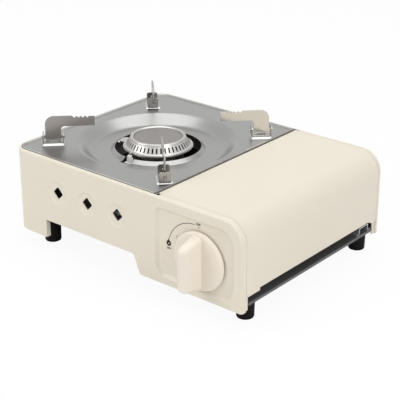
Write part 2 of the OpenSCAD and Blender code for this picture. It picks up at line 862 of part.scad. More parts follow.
// sheet ring that turns a list of outer points into a wall of even thickness inwards
module burner_bowl() {
    t = burner_t;
    placed() color("silver") difference() {
        union() {
            translate([burner_x, burner_y, 0]) rotate([0, 0, 45]) rotate_extrude() polygon([
                [0, bowl_z0], [bowl_r - 6, bowl_z0], [bowl_r - 1.5, bowl_z0 + 2.5],
                [bowl_r, bowl_z0 + 7], [bowl_r, flange_z], [base_r, flange_z],
                [base_r, flange_z + t], [0, flange_z + t]
            ]);
            translate([0, burner_y, tube_z])
                bar_x(mixer_r + 2 * t + run_fit, burner_x + bowl_r - 3, burner_x + bowl_r + 6);
            // ear that ties the flange to its neighbour
            translate([burner_x, burner_y, flange_z]) rotate([0, 0, 197])
                linear_extrude(t) translate([base_r - 4, -6]) round_rect(10, 12, [0.4, 4, 4, 0.4]);
        }
        translate([burner_x, burner_y, 0]) rotate([0, 0, 45]) rotate_extrude() polygon([
            [0, bowl_z0 + t], [bowl_r - 6 - t / 2, bowl_z0 + t], [bowl_r - 2 - t, bowl_z0 + 3.5],
            [bowl_r - t, bowl_z0 + 7.5], [bowl_r - t, flange_z + t + 1], [0, flange_z + t + 1]
        ]);
        translate([0, burner_y, tube_z])
            bar_x(mixer_r + t + run_fit, burner_x, burner_x + bowl_r + 7);
    }
}

module mixing_tube() {
    t = burner_t;
    placed() color("silver") translate([0, burner_y, tube_z]) difference() {
        rotate([0, 90, 0]) rotate_extrude() polygon([
            [mixer_r, mixer_x0 + 0.5], [mixer_r + t, mixer_x0 + 0.5], [mixer_r + t, mixer_x1 - bell_run],
            [bell_r + t, mixer_x1 - 6], [bell_r + t, mixer_x1 + t], [gas_r + 2, mixer_x1 + t],
            [gas_r + 2, mixer_x1], [bell_r, mixer_x1], [bell_r, mixer_x1 - 6],
            [mixer_r, mixer_x1 - bell_run]
        ]);
        // primary air ports
        for (a = [45 : 90 : 315]) rotate([a, 0, 0])
            translate([mixer_x1 - 3, 0, bell_r / 2]) rotate(30) cylinder(r = 2, h = bell_r);
    }
}

// outer surface of the crown, from the flange up to its rim
function crown_points() = [
    [base_r - 1, flange_z + burner_t], [base_r - 1, flange_z + burner_t + 0.8],
    [crown_low_r, crown_low_z], [crown_high_r, crown_high_z],
    [crown_high_r - 0.6, plate_z + crown_top - 1.2], [crown_high_r - 1.1, plate_z + crown_top - 0.4],
    [crown_high_r - 2, plate_z + crown_top], [crown_high_r - 3, plate_z + crown_top - 0.2],
    [cap_r + 0.1, plate_z + crown_top - 1.2]
];

module burner_crown() {
    t = burner_t;
    placed() color("silver") translate([burner_x, burner_y, 0]) difference() {
        rotate_extrude() polygon(concat(crown_points(), [
            [cap_r + 0.1, plate_z + crown_top - 2.2], [cap_r - 2, plate_z + crown_top - 2.2],
            [cap_r - 2, plate_z + crown_top - 3], [crown_high_r - t - 0.4, plate_z + crown_top - 3],
            [crown_high_r - t, crown_high_z - 0.6], [crown_low_r - t, crown_low_z - 0.4],
            [bowl_r, flange_z + t + 0.9], [bowl_r, flange_z + t]
        ]));
        for (k = [0 : slot_n - 1]) rotate([0, 0, (k + 0.5) * 360 / slot_n])
            translate([crown_high_r - 4, -slot_w / 2, crown_low_z + 0.6])
                cube([8, slot_w, slot_h]);
        // short slit beside the spark gap
        rotate([0, 0, -93]) translate([crown_low_r - 1, -0.4, flange_z]) cube([6, 0.8, 4]);
    }
}

module burner_cap() {
    placed() color("gray") translate([burner_x, burner_y, plate_z + crown_top - 2.2])
        rotate_extrude() polygon([
            [0, 0], [cap_r, 0], [cap_r, 0.8], [cap_r - 1, 1.1], [0, 1.1]
        ]);
}

module burner_stand() {
    t = burner_t;
    half = stand_half;
    leg = bowl_z0 - tray_high_z;
    placed() color("lightgray") difference() {
        translate([burner_x, 0, 0]) along_y(burner_y - 11, burner_y + 11) {
            translate([-half, bowl_z0 - t]) square([2 * half, t]);
            for (s = [-1, 1]) {
                translate([s * (half - t / 2) - t / 2, tray_high_z]) square([t, leg]);
                translate([s * (half + 4) - 5, tray_high_z]) square([10, t]);
            }
        }
        for (s = [-1, 1]) translate([burner_x + s * (half + 5), burner_y, tray_high_z - 1])
            cylinder(r = tray_screw_r + 0.1, h = 4);
    }
}

module injector_jet() {
    placed() color("goldenrod") translate([0, burner_y, tube_z]) difference() {
        union() {
            translate([mixer_x1 - 5, 0, 0]) rotate([0, 90, 0]) cylinder(r1 = 1.6, r2 = 3, h = 5);
            bar_x(gas_r + 1.9, mixer_x1 - eps, mixer_x1 + burner_t + eps);
            translate([mixer_x1 + burner_t, 0, 0]) rotate([0, 90, 0])
                cylinder(r = 5, h = jet_x1 - mixer_x1 - burner_t, $fn = 6);
        }
        bar_x(gas_r + run_fit, mixer_x1 + 3, jet_x1 + 1);
        bar_x(0.5, mixer_x1 - 6, mixer_x1 + 4);
    }
}

// quarter elbow of the gas tube in the XY plane: from along X to along Y, about its centre
module elbow(a) {
    rotate([0, 0, a]) rotate_extrude(angle = 90) translate([tube_bend, 0]) circle(gas_r);
}

module gas_tube() {
    x_end = jet_x1 - 4;
    placed() color("burlywood") translate([0, 0, tube_z]) {
        translate([0, tube_y0, 0]) bar_x(gas_r, run_x + tube_bend, drum_x - drum_r - 1.5);
        translate([run_x + tube_bend, tube_y0 + tube_bend, 0]) elbow(180);
        translate([run_x, 0, 0]) bar_y(gas_r, tube_y0 + tube_bend, burner_y - tube_bend);
        translate([run_x - tube_bend, burner_y - tube_bend, 0]) elbow(0);
        translate([0, burner_y, 0]) bar_x(gas_r, x_end, run_x - tube_bend);
    }
}

// ---------------------------------------------------------------- ignition

module igniter_bracket() {
    t = spark_t;
    placed() color("lightgray") difference() {
        union() {
            // foot on the tray, post and the tongue that shows beside the plate's notch
            translate([spark_x - spark_w / 2, spark_y - spark_w, tray_high_z]) cube([spark_w, spark_w, t]);
            translate([spark_x - spark_w / 2, spark_y - t, tray_high_z])
                cube([spark_w, t, flange_z - tray_high_z - 4]);
            translate([spark_x - spark_w / 2, spark_y - t, flange_z - 5])
                cube([spark_w, electrode_off + 4, t]);
            translate([spark_x - 2.6, spark_y, flange_z - 5]) cube([5.4, t, 8]);
        }
        translate([spark_x - electrode_in, spark_y + electrode_off, flange_z - 8])
            cylinder(r = electrode_r + run_fit, h = 8);
        translate([spark_x, spark_y - 7, tray_high_z - 1])
            cylinder(r = tray_screw_r + 0.1, h = 3);
    }
}

module igniter_electrode() {
    placed() color("white") translate([spark_x - electrode_in, spark_y + electrode_off, 0]) difference() {
        union() {
            translate([0, 0, flange_z - electrode_deep]) cylinder(r = electrode_r, h = electrode_l);
            translate([0, 0, flange_z - 4.2]) cylinder(r = electrode_r + 1, h = 3);
        }
        translate([0, 0, flange_z - electrode_deep - 1]) cylinder(r = wire_r + run_fit, h = electrode_l + 6);
    }
}

module electrode_wire() {
    placed() color("silver") translate([spark_x - electrode_in, spark_y + electrode_off, 0]) {
        translate([0, 0, lead_z]) cylinder(r = wire_r, h = flange_z + wire_rise - lead_z);
        translate([0, 0, flange_z + wire_rise]) sphere(r = wire_r);
        translate([0, 0, flange_z + wire_rise]) rotate([-90, 0, 0]) cylinder(r = wire_r, h = wire_reach);
    }
}

lead_r = 1.2;
lead_bend = 6;
lead_z = flange_z - 28;
lead_gap = 0.8;
lead_side = 12;

// quarter turn of the lead about Z, from direction a
module lead_turn(a) {
    rotate([0, 0, a]) rotate_extrude(angle = 90) translate([lead_bend, 0]) circle(lead_r);
}

// high-voltage lead from the piezo unit along the front wall to the electrode
module ignition_lead() {
    b = lead_bend;
    x_el = spark_x - electrode_in;
    y_el = spark_y + electrode_off;
    x_in = spark_x + spark_w / 2 + lead_r + lead_gap;
    x_up = part_x - lead_side;
    placed() color("gainsboro") difference() {
        union() {
            translate([0, plunger_y, knob_z]) bar_x(lead_r, x_up + b, piezo_x1 - piezo_l);
            translate([x_up + b, plunger_y, knob_z + b]) rotate([90, 0, 0]) lead_turn(180);
            translate([x_up, plunger_y, knob_z + b]) cylinder(r = lead_r, h = lead_z - knob_z - 2 * b);
            translate([x_up - b, plunger_y, lead_z - b]) rotate([90, 0, 0]) lead_turn(0);
            translate([0, plunger_y, lead_z]) bar_x(lead_r, x_in + b, x_up - b);
            translate([x_in + b, plunger_y + b, lead_z]) lead_turn(180);
            translate([x_in, 0, lead_z]) bar_y(lead_r, plunger_y + b, y_el - b);
            translate([x_in - b, y_el - b, lead_z]) lead_turn(0);
            translate([0, y_el, lead_z]) bar_x(lead_r, x_el, x_in - b);
            translate([x_el, y_el, lead_z - 2.2]) cylinder(r = 2.9, h = flange_z - 20 - lead_z + 2.2);
        }
        translate([x_el, y_el, lead_z]) cylinder(r = 0.65 + run_fit, h = 20);
        translate([x_el, y_el, flange_z - 22]) cylinder(r = 2 + run_fit, h = 9);
    }
}

module piezo_unit() {
    placed() color("black") difference() {
        translate([piezo_x1 - piezo_l, piezo_y0, knob_z - piezo_h / 2])
            cube([piezo_l, piezo_t, piezo_h]);
        translate([0, plunger_y, knob_z])
            bar_x(plunger_r + run_fit, piezo_x1 - plunger_deep, piezo_x1 + 1);
        for (s = [-1, 1]) translate([piezo_x1 - piezo_l - 1, piezo_y0 + piezo_t, knob_z + s * piezo_h / 2])
            rotate([45, 0, 0]) translate([0, -0.7, -0.7]) cube([piezo_l + 2, 1.4, 1.4]);
    }
}

module piezo_plunger() {
    placed() color("ivory") translate([0, plunger_y, knob_z]) {
        bar_x(plunger_r, piezo_x1 - plunger_deep + plunger_travel + 0.8, plunger_tip_x - plunger_tip_l);
        translate([plunger_tip_x - plunger_tip_l - eps, 0, 0]) rotate([0, 90, 0])
            cylinder(r1 = plunger_r, r2 = plunger_tip_r, h = plunger_tip_l + eps);
    }
}

// ---------------------------------------------------------------- gas regulator

module regulator_body() {
    placed() color("lightslategray") difference() {
        union() {
            // valve block
            along_y(reg_y0, reg_y1) translate([reg_x0, reg_z0])
                round_rect(reg_x1 - reg_x0, cart_z + neck_r - reg_z0, [3, 3, 6, 6]);
            // diaphragm drum and its outlet
            translate([drum_x, 0, tube_z]) bar_y(drum_r, drum_y0, drum_y1);
            translate([0, tube_y0, tube_z]) bar_x(gas_r + 2, drum_x - drum_r - 4, drum_x);
            // neck that takes the cartridge
            translate([cart_x, 0, cart_z]) bar_y(neck_r, reg_y1 - eps, neck_y1);
        }
        // room for the drum's cover
        translate([drum_x, 0, tube_z]) bar_y(drum_r + 0.1, drum_y1, reg_y1 + 1);
        translate([0, tube_y0, tube_z])
            bar_x(gas_r + run_fit, drum_x - drum_r - 5, drum_x - drum_r - 1.5 + eps);
        translate([knob_x, 0, knob_z]) bar_y(spindle_r + run_fit, reg_y0 - 1, spindle_end);
        translate([cart_x, 0, cart_z]) bar_y(inlet_r, neck_y1 - inlet_deep, neck_y1 + 1);
        // groove that holds the seal
        translate([cart_x, 0, cart_z]) bar_y(seal_r, seal_y0, seal_y0 + seal_t + eps);
        translate([cart_x, 0, cart_z]) bar_y(1.2, seal_y0 - 4, neck_y1);
    }
}

module regulator_cover() {
    placed() color("silver") translate([drum_x, 0, tube_z]) difference() {
        turned_y() polygon([
            [0, drum_y1], [drum_r, drum_y1], [drum_r, drum_y1 + 1.4], [drum_r - 5.5, drum_y1 + 1.4],
            [drum_r - 7, cover_y1 - 0.6], [drum_r - 8, cover_y1], [0, cover_y1]
        ]);
        cover_screw_places() bar_y(1.3, drum_y1 - 1, drum_y1 + 3);
    }
}

cover_screw_n = 5;

module cover_screw_places() {
    for (k = [0 : cover_screw_n - 1]) rotate([0, (k + 0.5) * 360 / cover_screw_n, 0])
        translate([0, 0, drum_r - 2.9]) children();
}

module regulator_screws() {
    placed() color("silver") translate([drum_x, 0, tube_z]) cover_screw_places() {
        bar_y(2.2, drum_y1 + 1.4, drum_y1 + 2.8);
        bar_y(1.25, drum_y1, drum_y1 + 1.5);
    }
}

module regulator_bracket() {
    t = mount_t;
    x0 = reg_x0 + 3;
    x1 = reg_x1 - 3;
    placed() color("lightgray") difference() {
        union() {
            translate([x0, reg_y0 + 1, tray_z]) cube([x1 - x0, t, reg_z0 - tray_z]);
            translate([x0, reg_y0 + 1, tray_z]) cube([x1 - x0, reg_foot, t]);
        }
        for (x = [x0 + 5, x1 - 5]) translate([x, reg_screw_y, tray_z - 1])
            cylinder(r = tray_screw_r + 0.1, h = 3);
    }
}

module inlet_seal() {
    placed() color("darkgreen") translate([cart_x, 0, cart_z]) turned_y() polygon([
        [1.6, seal_y0], [seal_r - run_fit, seal_y0],
        [seal_r - run_fit, seal_y0 + seal_t - 0.1], [1.6, seal_y0 + seal_t - 0.1]
    ]);
}

module cartridge_magnet() {
    placed() color("dimgray") translate([cart_x, 0, cart_z]) turned_y() polygon([
        [neck_r + 0.1, reg_y1 + 0.1], [neck_r + 5, reg_y1 + 0.1],
        [neck_r + 5, neck_y1 - 0.8], [neck_r + 0.1, neck_y1 - 0.8]
    ]);
}

// key that a notch in the cartridge's collar has to meet
module cartridge_key() {
    placed() color("lightgray") translate([cart_x, 0, cart_z]) {
        translate([-3, reg_y0 + 2, neck_r]) cube([6, reg_y1 - reg_y0 - 2, 1.6]);
        translate([-3, reg_y1 - eps, neck_r + 5.2]) cube([6, neck_y1 - reg_y1 + 5, 1.6]);
        translate([-3, reg_y1 - 1.6, neck_r]) cube([6, 1.6, 6.8]);
    }
}

// strip with a hollow top that carries the cartridge
module saddle(y0) {
    r = cart_r + saddle_gap;
    half = saddle_half;
    color("lightgray") difference() {
        along_y(y0, y0 + saddle_w) translate([cart_x, 0]) {
            intersection() {
                translate([0, cart_z]) difference() {
                    circle(r + saddle_t, $fn = 96);
                    circle(r, $fn = 96);
                }
                translate([-half, tray_z]) square([2 * half, saddle_top - tray_z]);
            }
            for (s = [-1, 1]) {
                translate([s * half - saddle_t / 2, tray_z]) square([saddle_t, saddle_top - tray_z]);
                translate([s * (half + saddle_foot - 0.5) - saddle_foot, tray_z])
                    square([2 * saddle_foot, saddle_t]);
            }
        }
        for (s = [-1, 1]) translate([cart_x + s * (half + saddle_foot), y0 + saddle_w / 2, tray_z - 1])
            cylinder(r = tray_screw_r + 0.1, h = 3);
    }
}

module saddle_front() placed() saddle(saddle_y[0]);
module saddle_rear() placed() saddle(saddle_y[1]);

// bowed strap beside the lid's rear corner, against which the lid clicks
module lid_catch() {
    x1 = body_w - sheet_t - 1.2;
    y0 = body_d - catch_back;
    placed() color("lightgray") difference() {
        translate([x1 - catch_w, y0, tray_z]) {
            cube([catch_w, catch_foot, catch_t]);
            translate([0, catch_foot - catch_t, 0]) cube([catch_w, catch_t, catch_h]);
            translate([0, catch_foot - catch_t, catch_h - catch_t])
                cube([catch_w, catch_l - 2 * (catch_foot - catch_t), catch_t]);
            translate([0, catch_l - catch_foot, 0]) cube([catch_w, catch_t, catch_h]);
            translate([0, catch_l - catch_foot, 0]) cube([catch_w, catch_foot, catch_t]);
        }
        translate([x1 - catch_w / 2, y0 + catch_l / 2, tray_z]) cylinder(r = 2.4, h = catch_w);
    }
}

// ---------------------------------------------------------------- lid and its hinge

module lid_profile() {
    translate([hinge_x, hinge_z]) difference() {
        circle(curl_r);
        circle(curl_r - sheet_t);
        square(curl_r + 1);
    }
    translate([hinge_x, rim_z - sheet_t]) square([body_w - end_r - hinge_x, sheet_t]);
    translate([body_w - end_r, rim_z - end_r]) mirror([1, 0]) bend(end_r, sheet_t);
    translate([body_w - sheet_t, lid_corner_z])
        square([sheet_t, rim_z - end_r - lid_corner_z]);
}

module lid_shell() {
    placed() color("antiquewhite") difference() {
        along_y(lid_y0, lid_y1) lid_profile();
        translate([body_w - 3, 0, 0]) rotate([90, 0, 90]) linear_extrude(6) polygon([
            [lid_y0 + lid_corner_front, 0], [lid_y0 + lid_corner_front, lid_z],
            [lid_y1 - lid_corner_rear, lid_z], [lid_y1 - lid_corner_rear + 6, lid_corner_z - 0.1],
            [lid_y1 - lid_corner_rear + 6, 0]
        ]);
        // clipped front lower corner
        translate([body_w - 3, lid_y0, lid_corner_z]) rotate([45, 0, 0])
            translate([0, -1.6, -1.6]) cube([6, 3.2, 3.2]);
    }
}

// folded rib inside one end of the lid
module lid_rib(y0) {
    x0 = hinge_x + 8;
    z0 = lid_z + 6;
    placed() color("wheat") along_y(y0, y0 + sheet_t) difference() {
        end_outline(x0, z0, sheet_t);
        end_outline(x0 - 1, z0 - 1, sheet_t + rib_w);
    }
}

module lid_rib_front() lid_rib(lid_y0 + lip_len + 1);
module lid_rib_rear() lid_rib(lid_y1 - lip_len - 1 - sheet_t);

// lug that holds one end of the hinge rod; y0 is its plate, y1 the wall that it is welded to
module hinge_lug(y0, wall) {
    x0 = plate_x1 + 0.2;
    w = 8;
    y_lo = min(y0, wall);
    y_hi = max(y0 + lug_t, wall);
    color("lightgray") difference() {
        union() {
            along_y(y0, y0 + lug_t) {
                translate([x0, lug_z]) square([w, hinge_z - lug_z]);
                translate([hinge_x, hinge_z]) circle(lug_eye);
            }
            translate([x0, y_lo, lug_z]) cube([w, y_hi - y_lo, lug_t]);
        }
        translate([hinge_x, 0, hinge_z]) bar_y(rod_r + run_fit, y0 - 1, y0 + lug_t + 1);
    }
}

module hinge_lug_front() placed() hinge_lug(lug_y0, sheet_t);
module hinge_lug_rear() placed() hinge_lug(lug_y1, body_d - sheet_t);

module hinge_rod() {
    placed() color("silver") translate([hinge_x, 0, hinge_z])
        bar_y(rod_r, lug_y0 - 0.8, lug_y1 + lug_t + 0.2);
}

// ---------------------------------------------------------------- pan supports

// outline of a support: out from the burner, and up from the plate
module support_outline() {
    step = 0.8;
    grip_x = sup_in + 5 + notch_n * notch_pitch;
    difference() {
        translate([sup_in, pin_z - stem_deep])
            round_rect(sup_out - sup_in, sup_h - pin_z + stem_deep, [0.3, 1, sup_r, 0.8]);
        // hollow under the arm
        translate([sup_in - 10, pin_z - 10])
            round_rect(sup_out - stem_w - sup_in + 10, arm_low - pin_z + 10, [0.3, 0.3, 4, 0.3]);
        // lowered grip with its notches
        translate([sup_in - 1, sup_h - step]) square([grip_x - sup_in + 1, step + 1]);
        for (k = [0 : notch_n - 1]) translate([grip_x - 2.2 - k * notch_pitch, sup_h - step])
            polygon([[-1.3, eps], [0, -notch_d], [1.3, eps]]);
    }
}

// one support, upright, with the two stubs at its foot that turn in the bracket's ears
module pot_support(i) {
    x0 = sup_mid - fork_l / 2 - stub_over;
    placed() color("darkgray") at_support(i) {
        translate([0, blade_t / 2, 0]) rotate([90, 0, 0]) linear_extrude(blade_t) support_outline();
        intersection() {
            translate([0, 0, pin_z]) bar_x(pin_r, x0, x0 + fork_l + 2 * stub_over);
            translate([x0 - 1, -blade_t / 2, 0]) cube([fork_l + 4, blade_t, 2 * pin_z]);
        }
    }
}

// pressed bracket on the pad, with an ear at each end and a lip that stops the blade upright
module support_bracket(i) {
    x0 = sup_mid - fork_l / 2;
    placed() color("darkgray") at_support(i) difference() {
        union() {
            translate([x0, -fork_half, pad_h]) cube([fork_l, 2 * fork_half, bracket_t]);
            for (x = [x0, x0 + fork_l - bracket_t]) translate([x, 0, 0]) rotate([90, 0, 90])
                linear_extrude(bracket_t) translate([-fork_half, pad_h])
                    round_rect(2 * fork_half, ear_h, [0.2, 0.2, 2.5, 2.5]);
            translate([sup_mid - stop_l / 2, stop_y - bracket_t, pad_h])
                cube([stop_l, bracket_t, bracket_t + stop_h]);
        }
        // window that the lip was bent out of
        translate([sup_mid - stop_l / 2, stop_y, pad_h - 1])
            cube([stop_l, bracket_t + stop_h, bracket_t + 2]);
        translate([0, 0, pin_z]) bar_x(pin_r + run_fit, x0 - 1, x0 + fork_l + 1);
    }
}

module support_bracket_front_right() support_bracket(0);
module support_bracket_front_left() support_bracket(1);
module support_bracket_rear_left() support_bracket(2);
module support_bracket_rear_right() support_bracket(3);
module pot_support_front_right() pot_support(0);
module pot_support_front_left() pot_support(1);
module pot_support_rear_left() pot_support(2);
module pot_support_rear_right() pot_support(3);

// ---------------------------------------------------------------- knob

// puts a piece drawn with its axis along Y onto the knob's axis
module on_knob_axis() {
    placed() translate([knob_x, 0, knob_z]) children();
}

module knob() {
    bar_base = bar_w + 2.5;
    base_len = 2 * knob_r - 5;
    pocket = 2 * knob_t;
    on_knob_axis() color("antiquewhite") difference() {
        union() {
            // disc with a rounded edge
            turned_y() polygon([
                [0, knob_back], [knob_r, knob_back], [knob_r, -knob_face + 1.2],
                [knob_r - 0.4, -knob_face + 0.4], [knob_r - 1.2, -knob_face], [0, -knob_face]
            ]);
            // grip bar: its side view, front view and plan, cut from each other
            intersection() {
                translate([-bar_base, 0, 0]) rotate([90, 0, 90]) linear_extrude(2 * bar_base)
                    polygon([
                        [0, -base_len / 2], [-knob_face, -base_len / 2],
                        [-knob_out + 3, -bar_len / 2 - 1], [-knob_out + 0.8, -bar_len / 2 + 0.6],
                        [-knob_out, -bar_len / 2 + 3], [-knob_out, bar_len / 2 - 3],
                        [-knob_out + 0.8, bar_len / 2 - 0.6], [-knob_out + 3, bar_len / 2 + 1],
                        [-knob_face, base_len / 2], [0, base_len / 2]
                    ]);
                along_y(-knob_out - 1, 1) translate([-bar_base / 2, -base_len / 2])
                    round_rect(bar_base, base_len, [4, 4, 4, 4]);
                translate([0, 0, -knob_r]) linear_extrude(2 * knob_r) polygon([
                    [-bar_base / 2, 1], [bar_base / 2, 1], [bar_w / 2, -knob_out],
                    [-bar_w / 2, -knob_out]
                ]);
            }
        }
        // hollow back with a hub left standing
        difference() {
            union() {
                bar_y(knob_r - knob_t, -knob_face + knob_t, knob_back + 1);
                translate([-(bar_w - pocket) / 2, -knob_out + 2 * knob_t, -bar_len / 2 + 2])
                    cube([bar_w - pocket, knob_out, bar_len - 4]);
            }
            bar_y(spindle_r + 2, -knob_out, knob_back);
        }
        bar_y(spindle_r + run_fit, -knob_out + 5, knob_back + 1);
    }
}

module knob_spindle() {
    on_knob_axis() color("silver") difference() {
        bar_y(spindle_r, -knob_out + 5.5, spindle_end - 0.5);
        // flat that drives the knob
        translate([-spindle_r, -knob_out + 4, spindle_r - 0.8]) cube([2 * spindle_r, 14, 2]);
        // groove for the clip
        difference() {
            bar_y(spindle_r + 1, clip_y0, clip_y0 + clip_t);
            bar_y(spindle_r - 0.6, clip_y0 - 1, clip_y0 + clip_t + 1);
        }
    }
}

// radius of the cam at angle a, seen from the front, counter-clockwise from the right
function cam_radius(a) =
    a >= 180 - knob_turn && a <= 180 ? cam_r + plunger_travel * (180 - a) / knob_turn :
    a > 180 ? cam_r :
    a >= 20 ? cam_r + plunger_travel * (a - 20) / (160 - knob_turn) :
    cam_r;

// spiral cam that pushes the ignition plunger
module ignition_cam() {
    on_knob_axis() color("ivory") difference() {
        along_y(plunger_y - cam_t / 2, plunger_y + cam_t / 2)
            polygon([for (k = [0 : 3 * cam_steps - 1])
                let (a = k * 360 / (3 * cam_steps))
                cam_radius(a) * [cos(a), sin(a)]]);
        bar_y(spindle_r + run_fit, 0, plunger_y + cam_t);
    }
}

module spindle_clip() {
    on_knob_axis() color("silver") difference() {
        bar_y(spindle_r + 2, clip_y0 + 0.05, clip_y0 + clip_t - 0.05);
        bar_y(spindle_r - 0.6 + run_fit, clip_y0 - 1, clip_y0 + clip_t + 1);
        translate([-spindle_r + 0.8, clip_y0 - 1, -2 * spindle_r])
            cube([2 * spindle_r - 1.6, clip_t + 2, 2 * spindle_r]);
    }
}

body_casing();
top_plate();
bottom_tray();
partition_panel();
tray_rivets();
foot_front_left();
foot_front_right();
foot_rear_left();
foot_rear_right();
foot_screws();
foot_nuts();
burner_bowl();
mixing_tube();
burner_crown();
burner_cap();
burner_stand();
tray_screws();
injector_jet();
gas_tube();
igniter_bracket();
igniter_electrode();
electrode_wire();
ignition_lead();
piezo_unit();
piezo_plunger();
regulator_body();
regulator_cover();
regulator_screws();
regulator_bracket();
inlet_seal();
cartridge_magnet();
cartridge_key();
saddle_front();
saddle_rear();
lid_catch();
lid_shell();
lid_rib_front();
lid_rib_rear();
hinge_lug_front();
hinge_lug_rear();
hinge_rod();
support_bracket_front_right();
support_bracket_front_left();
support_bracket_rear_left();
support_bracket_rear_right();
pot_support_front_right();
pot_support_front_left();
pot_support_rear_left();
pot_support_rear_right();
knob();
knob_spindle();
ignition_cam();
spindle_clip();
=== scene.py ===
"""Looks of the cassette stove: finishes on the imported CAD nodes, finer pieces where the
CAD solids are plain, a pale studio and the camera. Lengths are metres in the frame of the CAD
model, apart from sizes that are named in millimetres."""

import json
import logging
import math
from dataclasses import dataclass
from enum import Enum
from typing import Protocol, Sequence

import bpy
from mathutils import Matrix, Vector

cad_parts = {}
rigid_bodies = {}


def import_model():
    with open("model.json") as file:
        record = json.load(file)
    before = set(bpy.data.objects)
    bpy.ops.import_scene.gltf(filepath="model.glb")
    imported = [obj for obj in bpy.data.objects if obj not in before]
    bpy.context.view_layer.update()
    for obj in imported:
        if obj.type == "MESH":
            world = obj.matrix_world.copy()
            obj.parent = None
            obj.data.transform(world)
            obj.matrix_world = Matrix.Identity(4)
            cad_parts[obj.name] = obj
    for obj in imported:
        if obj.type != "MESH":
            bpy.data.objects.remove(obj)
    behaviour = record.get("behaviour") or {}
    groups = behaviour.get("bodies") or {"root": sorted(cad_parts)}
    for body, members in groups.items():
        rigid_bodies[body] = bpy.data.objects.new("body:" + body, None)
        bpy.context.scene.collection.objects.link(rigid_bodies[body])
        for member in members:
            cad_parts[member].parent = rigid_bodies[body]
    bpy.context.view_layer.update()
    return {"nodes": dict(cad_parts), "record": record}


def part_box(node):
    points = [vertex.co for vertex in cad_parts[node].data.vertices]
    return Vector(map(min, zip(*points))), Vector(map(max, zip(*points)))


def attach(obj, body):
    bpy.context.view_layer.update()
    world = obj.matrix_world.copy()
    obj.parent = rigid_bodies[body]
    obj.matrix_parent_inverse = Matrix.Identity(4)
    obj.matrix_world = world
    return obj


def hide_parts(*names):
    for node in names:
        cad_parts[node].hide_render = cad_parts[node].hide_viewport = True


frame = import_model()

log = logging.getLogger("stove")

MM = 0.001
CORNERS = ("front_right", "front_left", "rear_left", "rear_right")
UP = Vector((0, 0, 1))
INWARD = Vector((0, 1, 0))
Profile = list[tuple[float, float]]


# ------------------------------------------------------------------ places in the frame


def box(node: str) -> tuple[Vector, Vector]:
    """Lowest and highest corner of a CAD node, in metres."""
    low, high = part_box(node)
    return Vector(low), Vector(high)


def centre(node: str) -> Vector:
    """Middle of a CAD node's box, in metres."""
    low, high = box(node)
    return (low + high) / 2


# ------------------------------------------------------------------ workbench


def deselect() -> None:
    """Leave edit mode and clear the selection, so that an operator acts on what is picked next."""
    if bpy.context.object and bpy.context.object.mode != "OBJECT":
        bpy.ops.object.mode_set(mode="OBJECT")
    bpy.ops.object.select_all(action="DESELECT")


def pick(*objects: bpy.types.Object) -> None:
    """Select only these objects and make the first of them active.

    Args:
        objects: the objects that the next operator acts on.
    """
    deselect()
    for obj in objects:
        obj.select_set(True)
    bpy.context.view_layer.objects.active = objects[0]


def edit(obj: bpy.types.Object, select: str = "SELECT") -> None:
    """Open an object's mesh in edit mode.

    Args:
        obj: the mesh object.
        select: SELECT for the whole mesh, DESELECT for none of it.
    """
    pick(obj)
    bpy.ops.object.mode_set(mode="EDIT")
    bpy.ops.mesh.select_all(action=select)


def settle(obj: bpy.types.Object, name: str) -> bpy.types.Object:
    """Name a piece and put its place into its mesh, with its object at the origin.

    Args:
        obj: the finished or half-finished piece.
        name: its name in the scene.

    Returns:
        The same object.
    """
    pick(obj)
    bpy.ops.object.transform_apply(location=True, rotation=True, scale=True)
    obj.name = name
    obj.data.name = name
    return obj


def modified(obj: bpy.types.Object, kind: str, **settings: object) -> bpy.types.Object:
    """Add a modifier, set it and apply it.

    Args:
        obj: the mesh object.
        kind: the modifier's type name.
        settings: values of the modifier's own properties.

    Returns:
        The same object.
    """
    pick(obj)
    bpy.ops.object.modifier_add(type=kind)
    modifier = obj.modifiers[-1]
    for key, value in settings.items():
        setattr(modifier, key, value)
    bpy.ops.object.modifier_apply(modifier=modifier.name)
    return obj


def joined(pieces: Sequence[bpy.types.Object], name: str) -> bpy.types.Object:
    """Join several meshes into one object.

    Args:
        pieces: the objects, of which the first one stays.
        name: the name of the joined object.

    Returns:
        The joined object.
    """
    pick(*pieces)
    if len(pieces) > 1:
        bpy.ops.object.join()
    return settle(bpy.context.object, name)


def cut(
    obj: bpy.types.Object, tool: bpy.types.Object, operation: str = "DIFFERENCE"
) -> bpy.types.Object:
    """Cut, join or intersect a piece with a tool body, which is used up.

    Args:
        obj: the piece.
        tool: the body that acts on it.
        operation: the boolean operation.

    Returns:
        The piece.
    """
    modified(obj, "BOOLEAN", operation=operation, solver="EXACT", object=tool)
    pick(tool)
    bpy.ops.object.delete()
    return obj


def smooth(obj: bpy.types.Object, angle: float = 35.0) -> bpy.types.Object:
    """Shade a piece smooth up to an edge angle in degrees, with flat faces kept flat."""
    pick(obj)
    bpy.ops.object.shade_smooth_by_angle(angle=math.radians(angle))
    return modified(obj, "WEIGHTED_NORMAL", keep_sharp=True, weight=80)


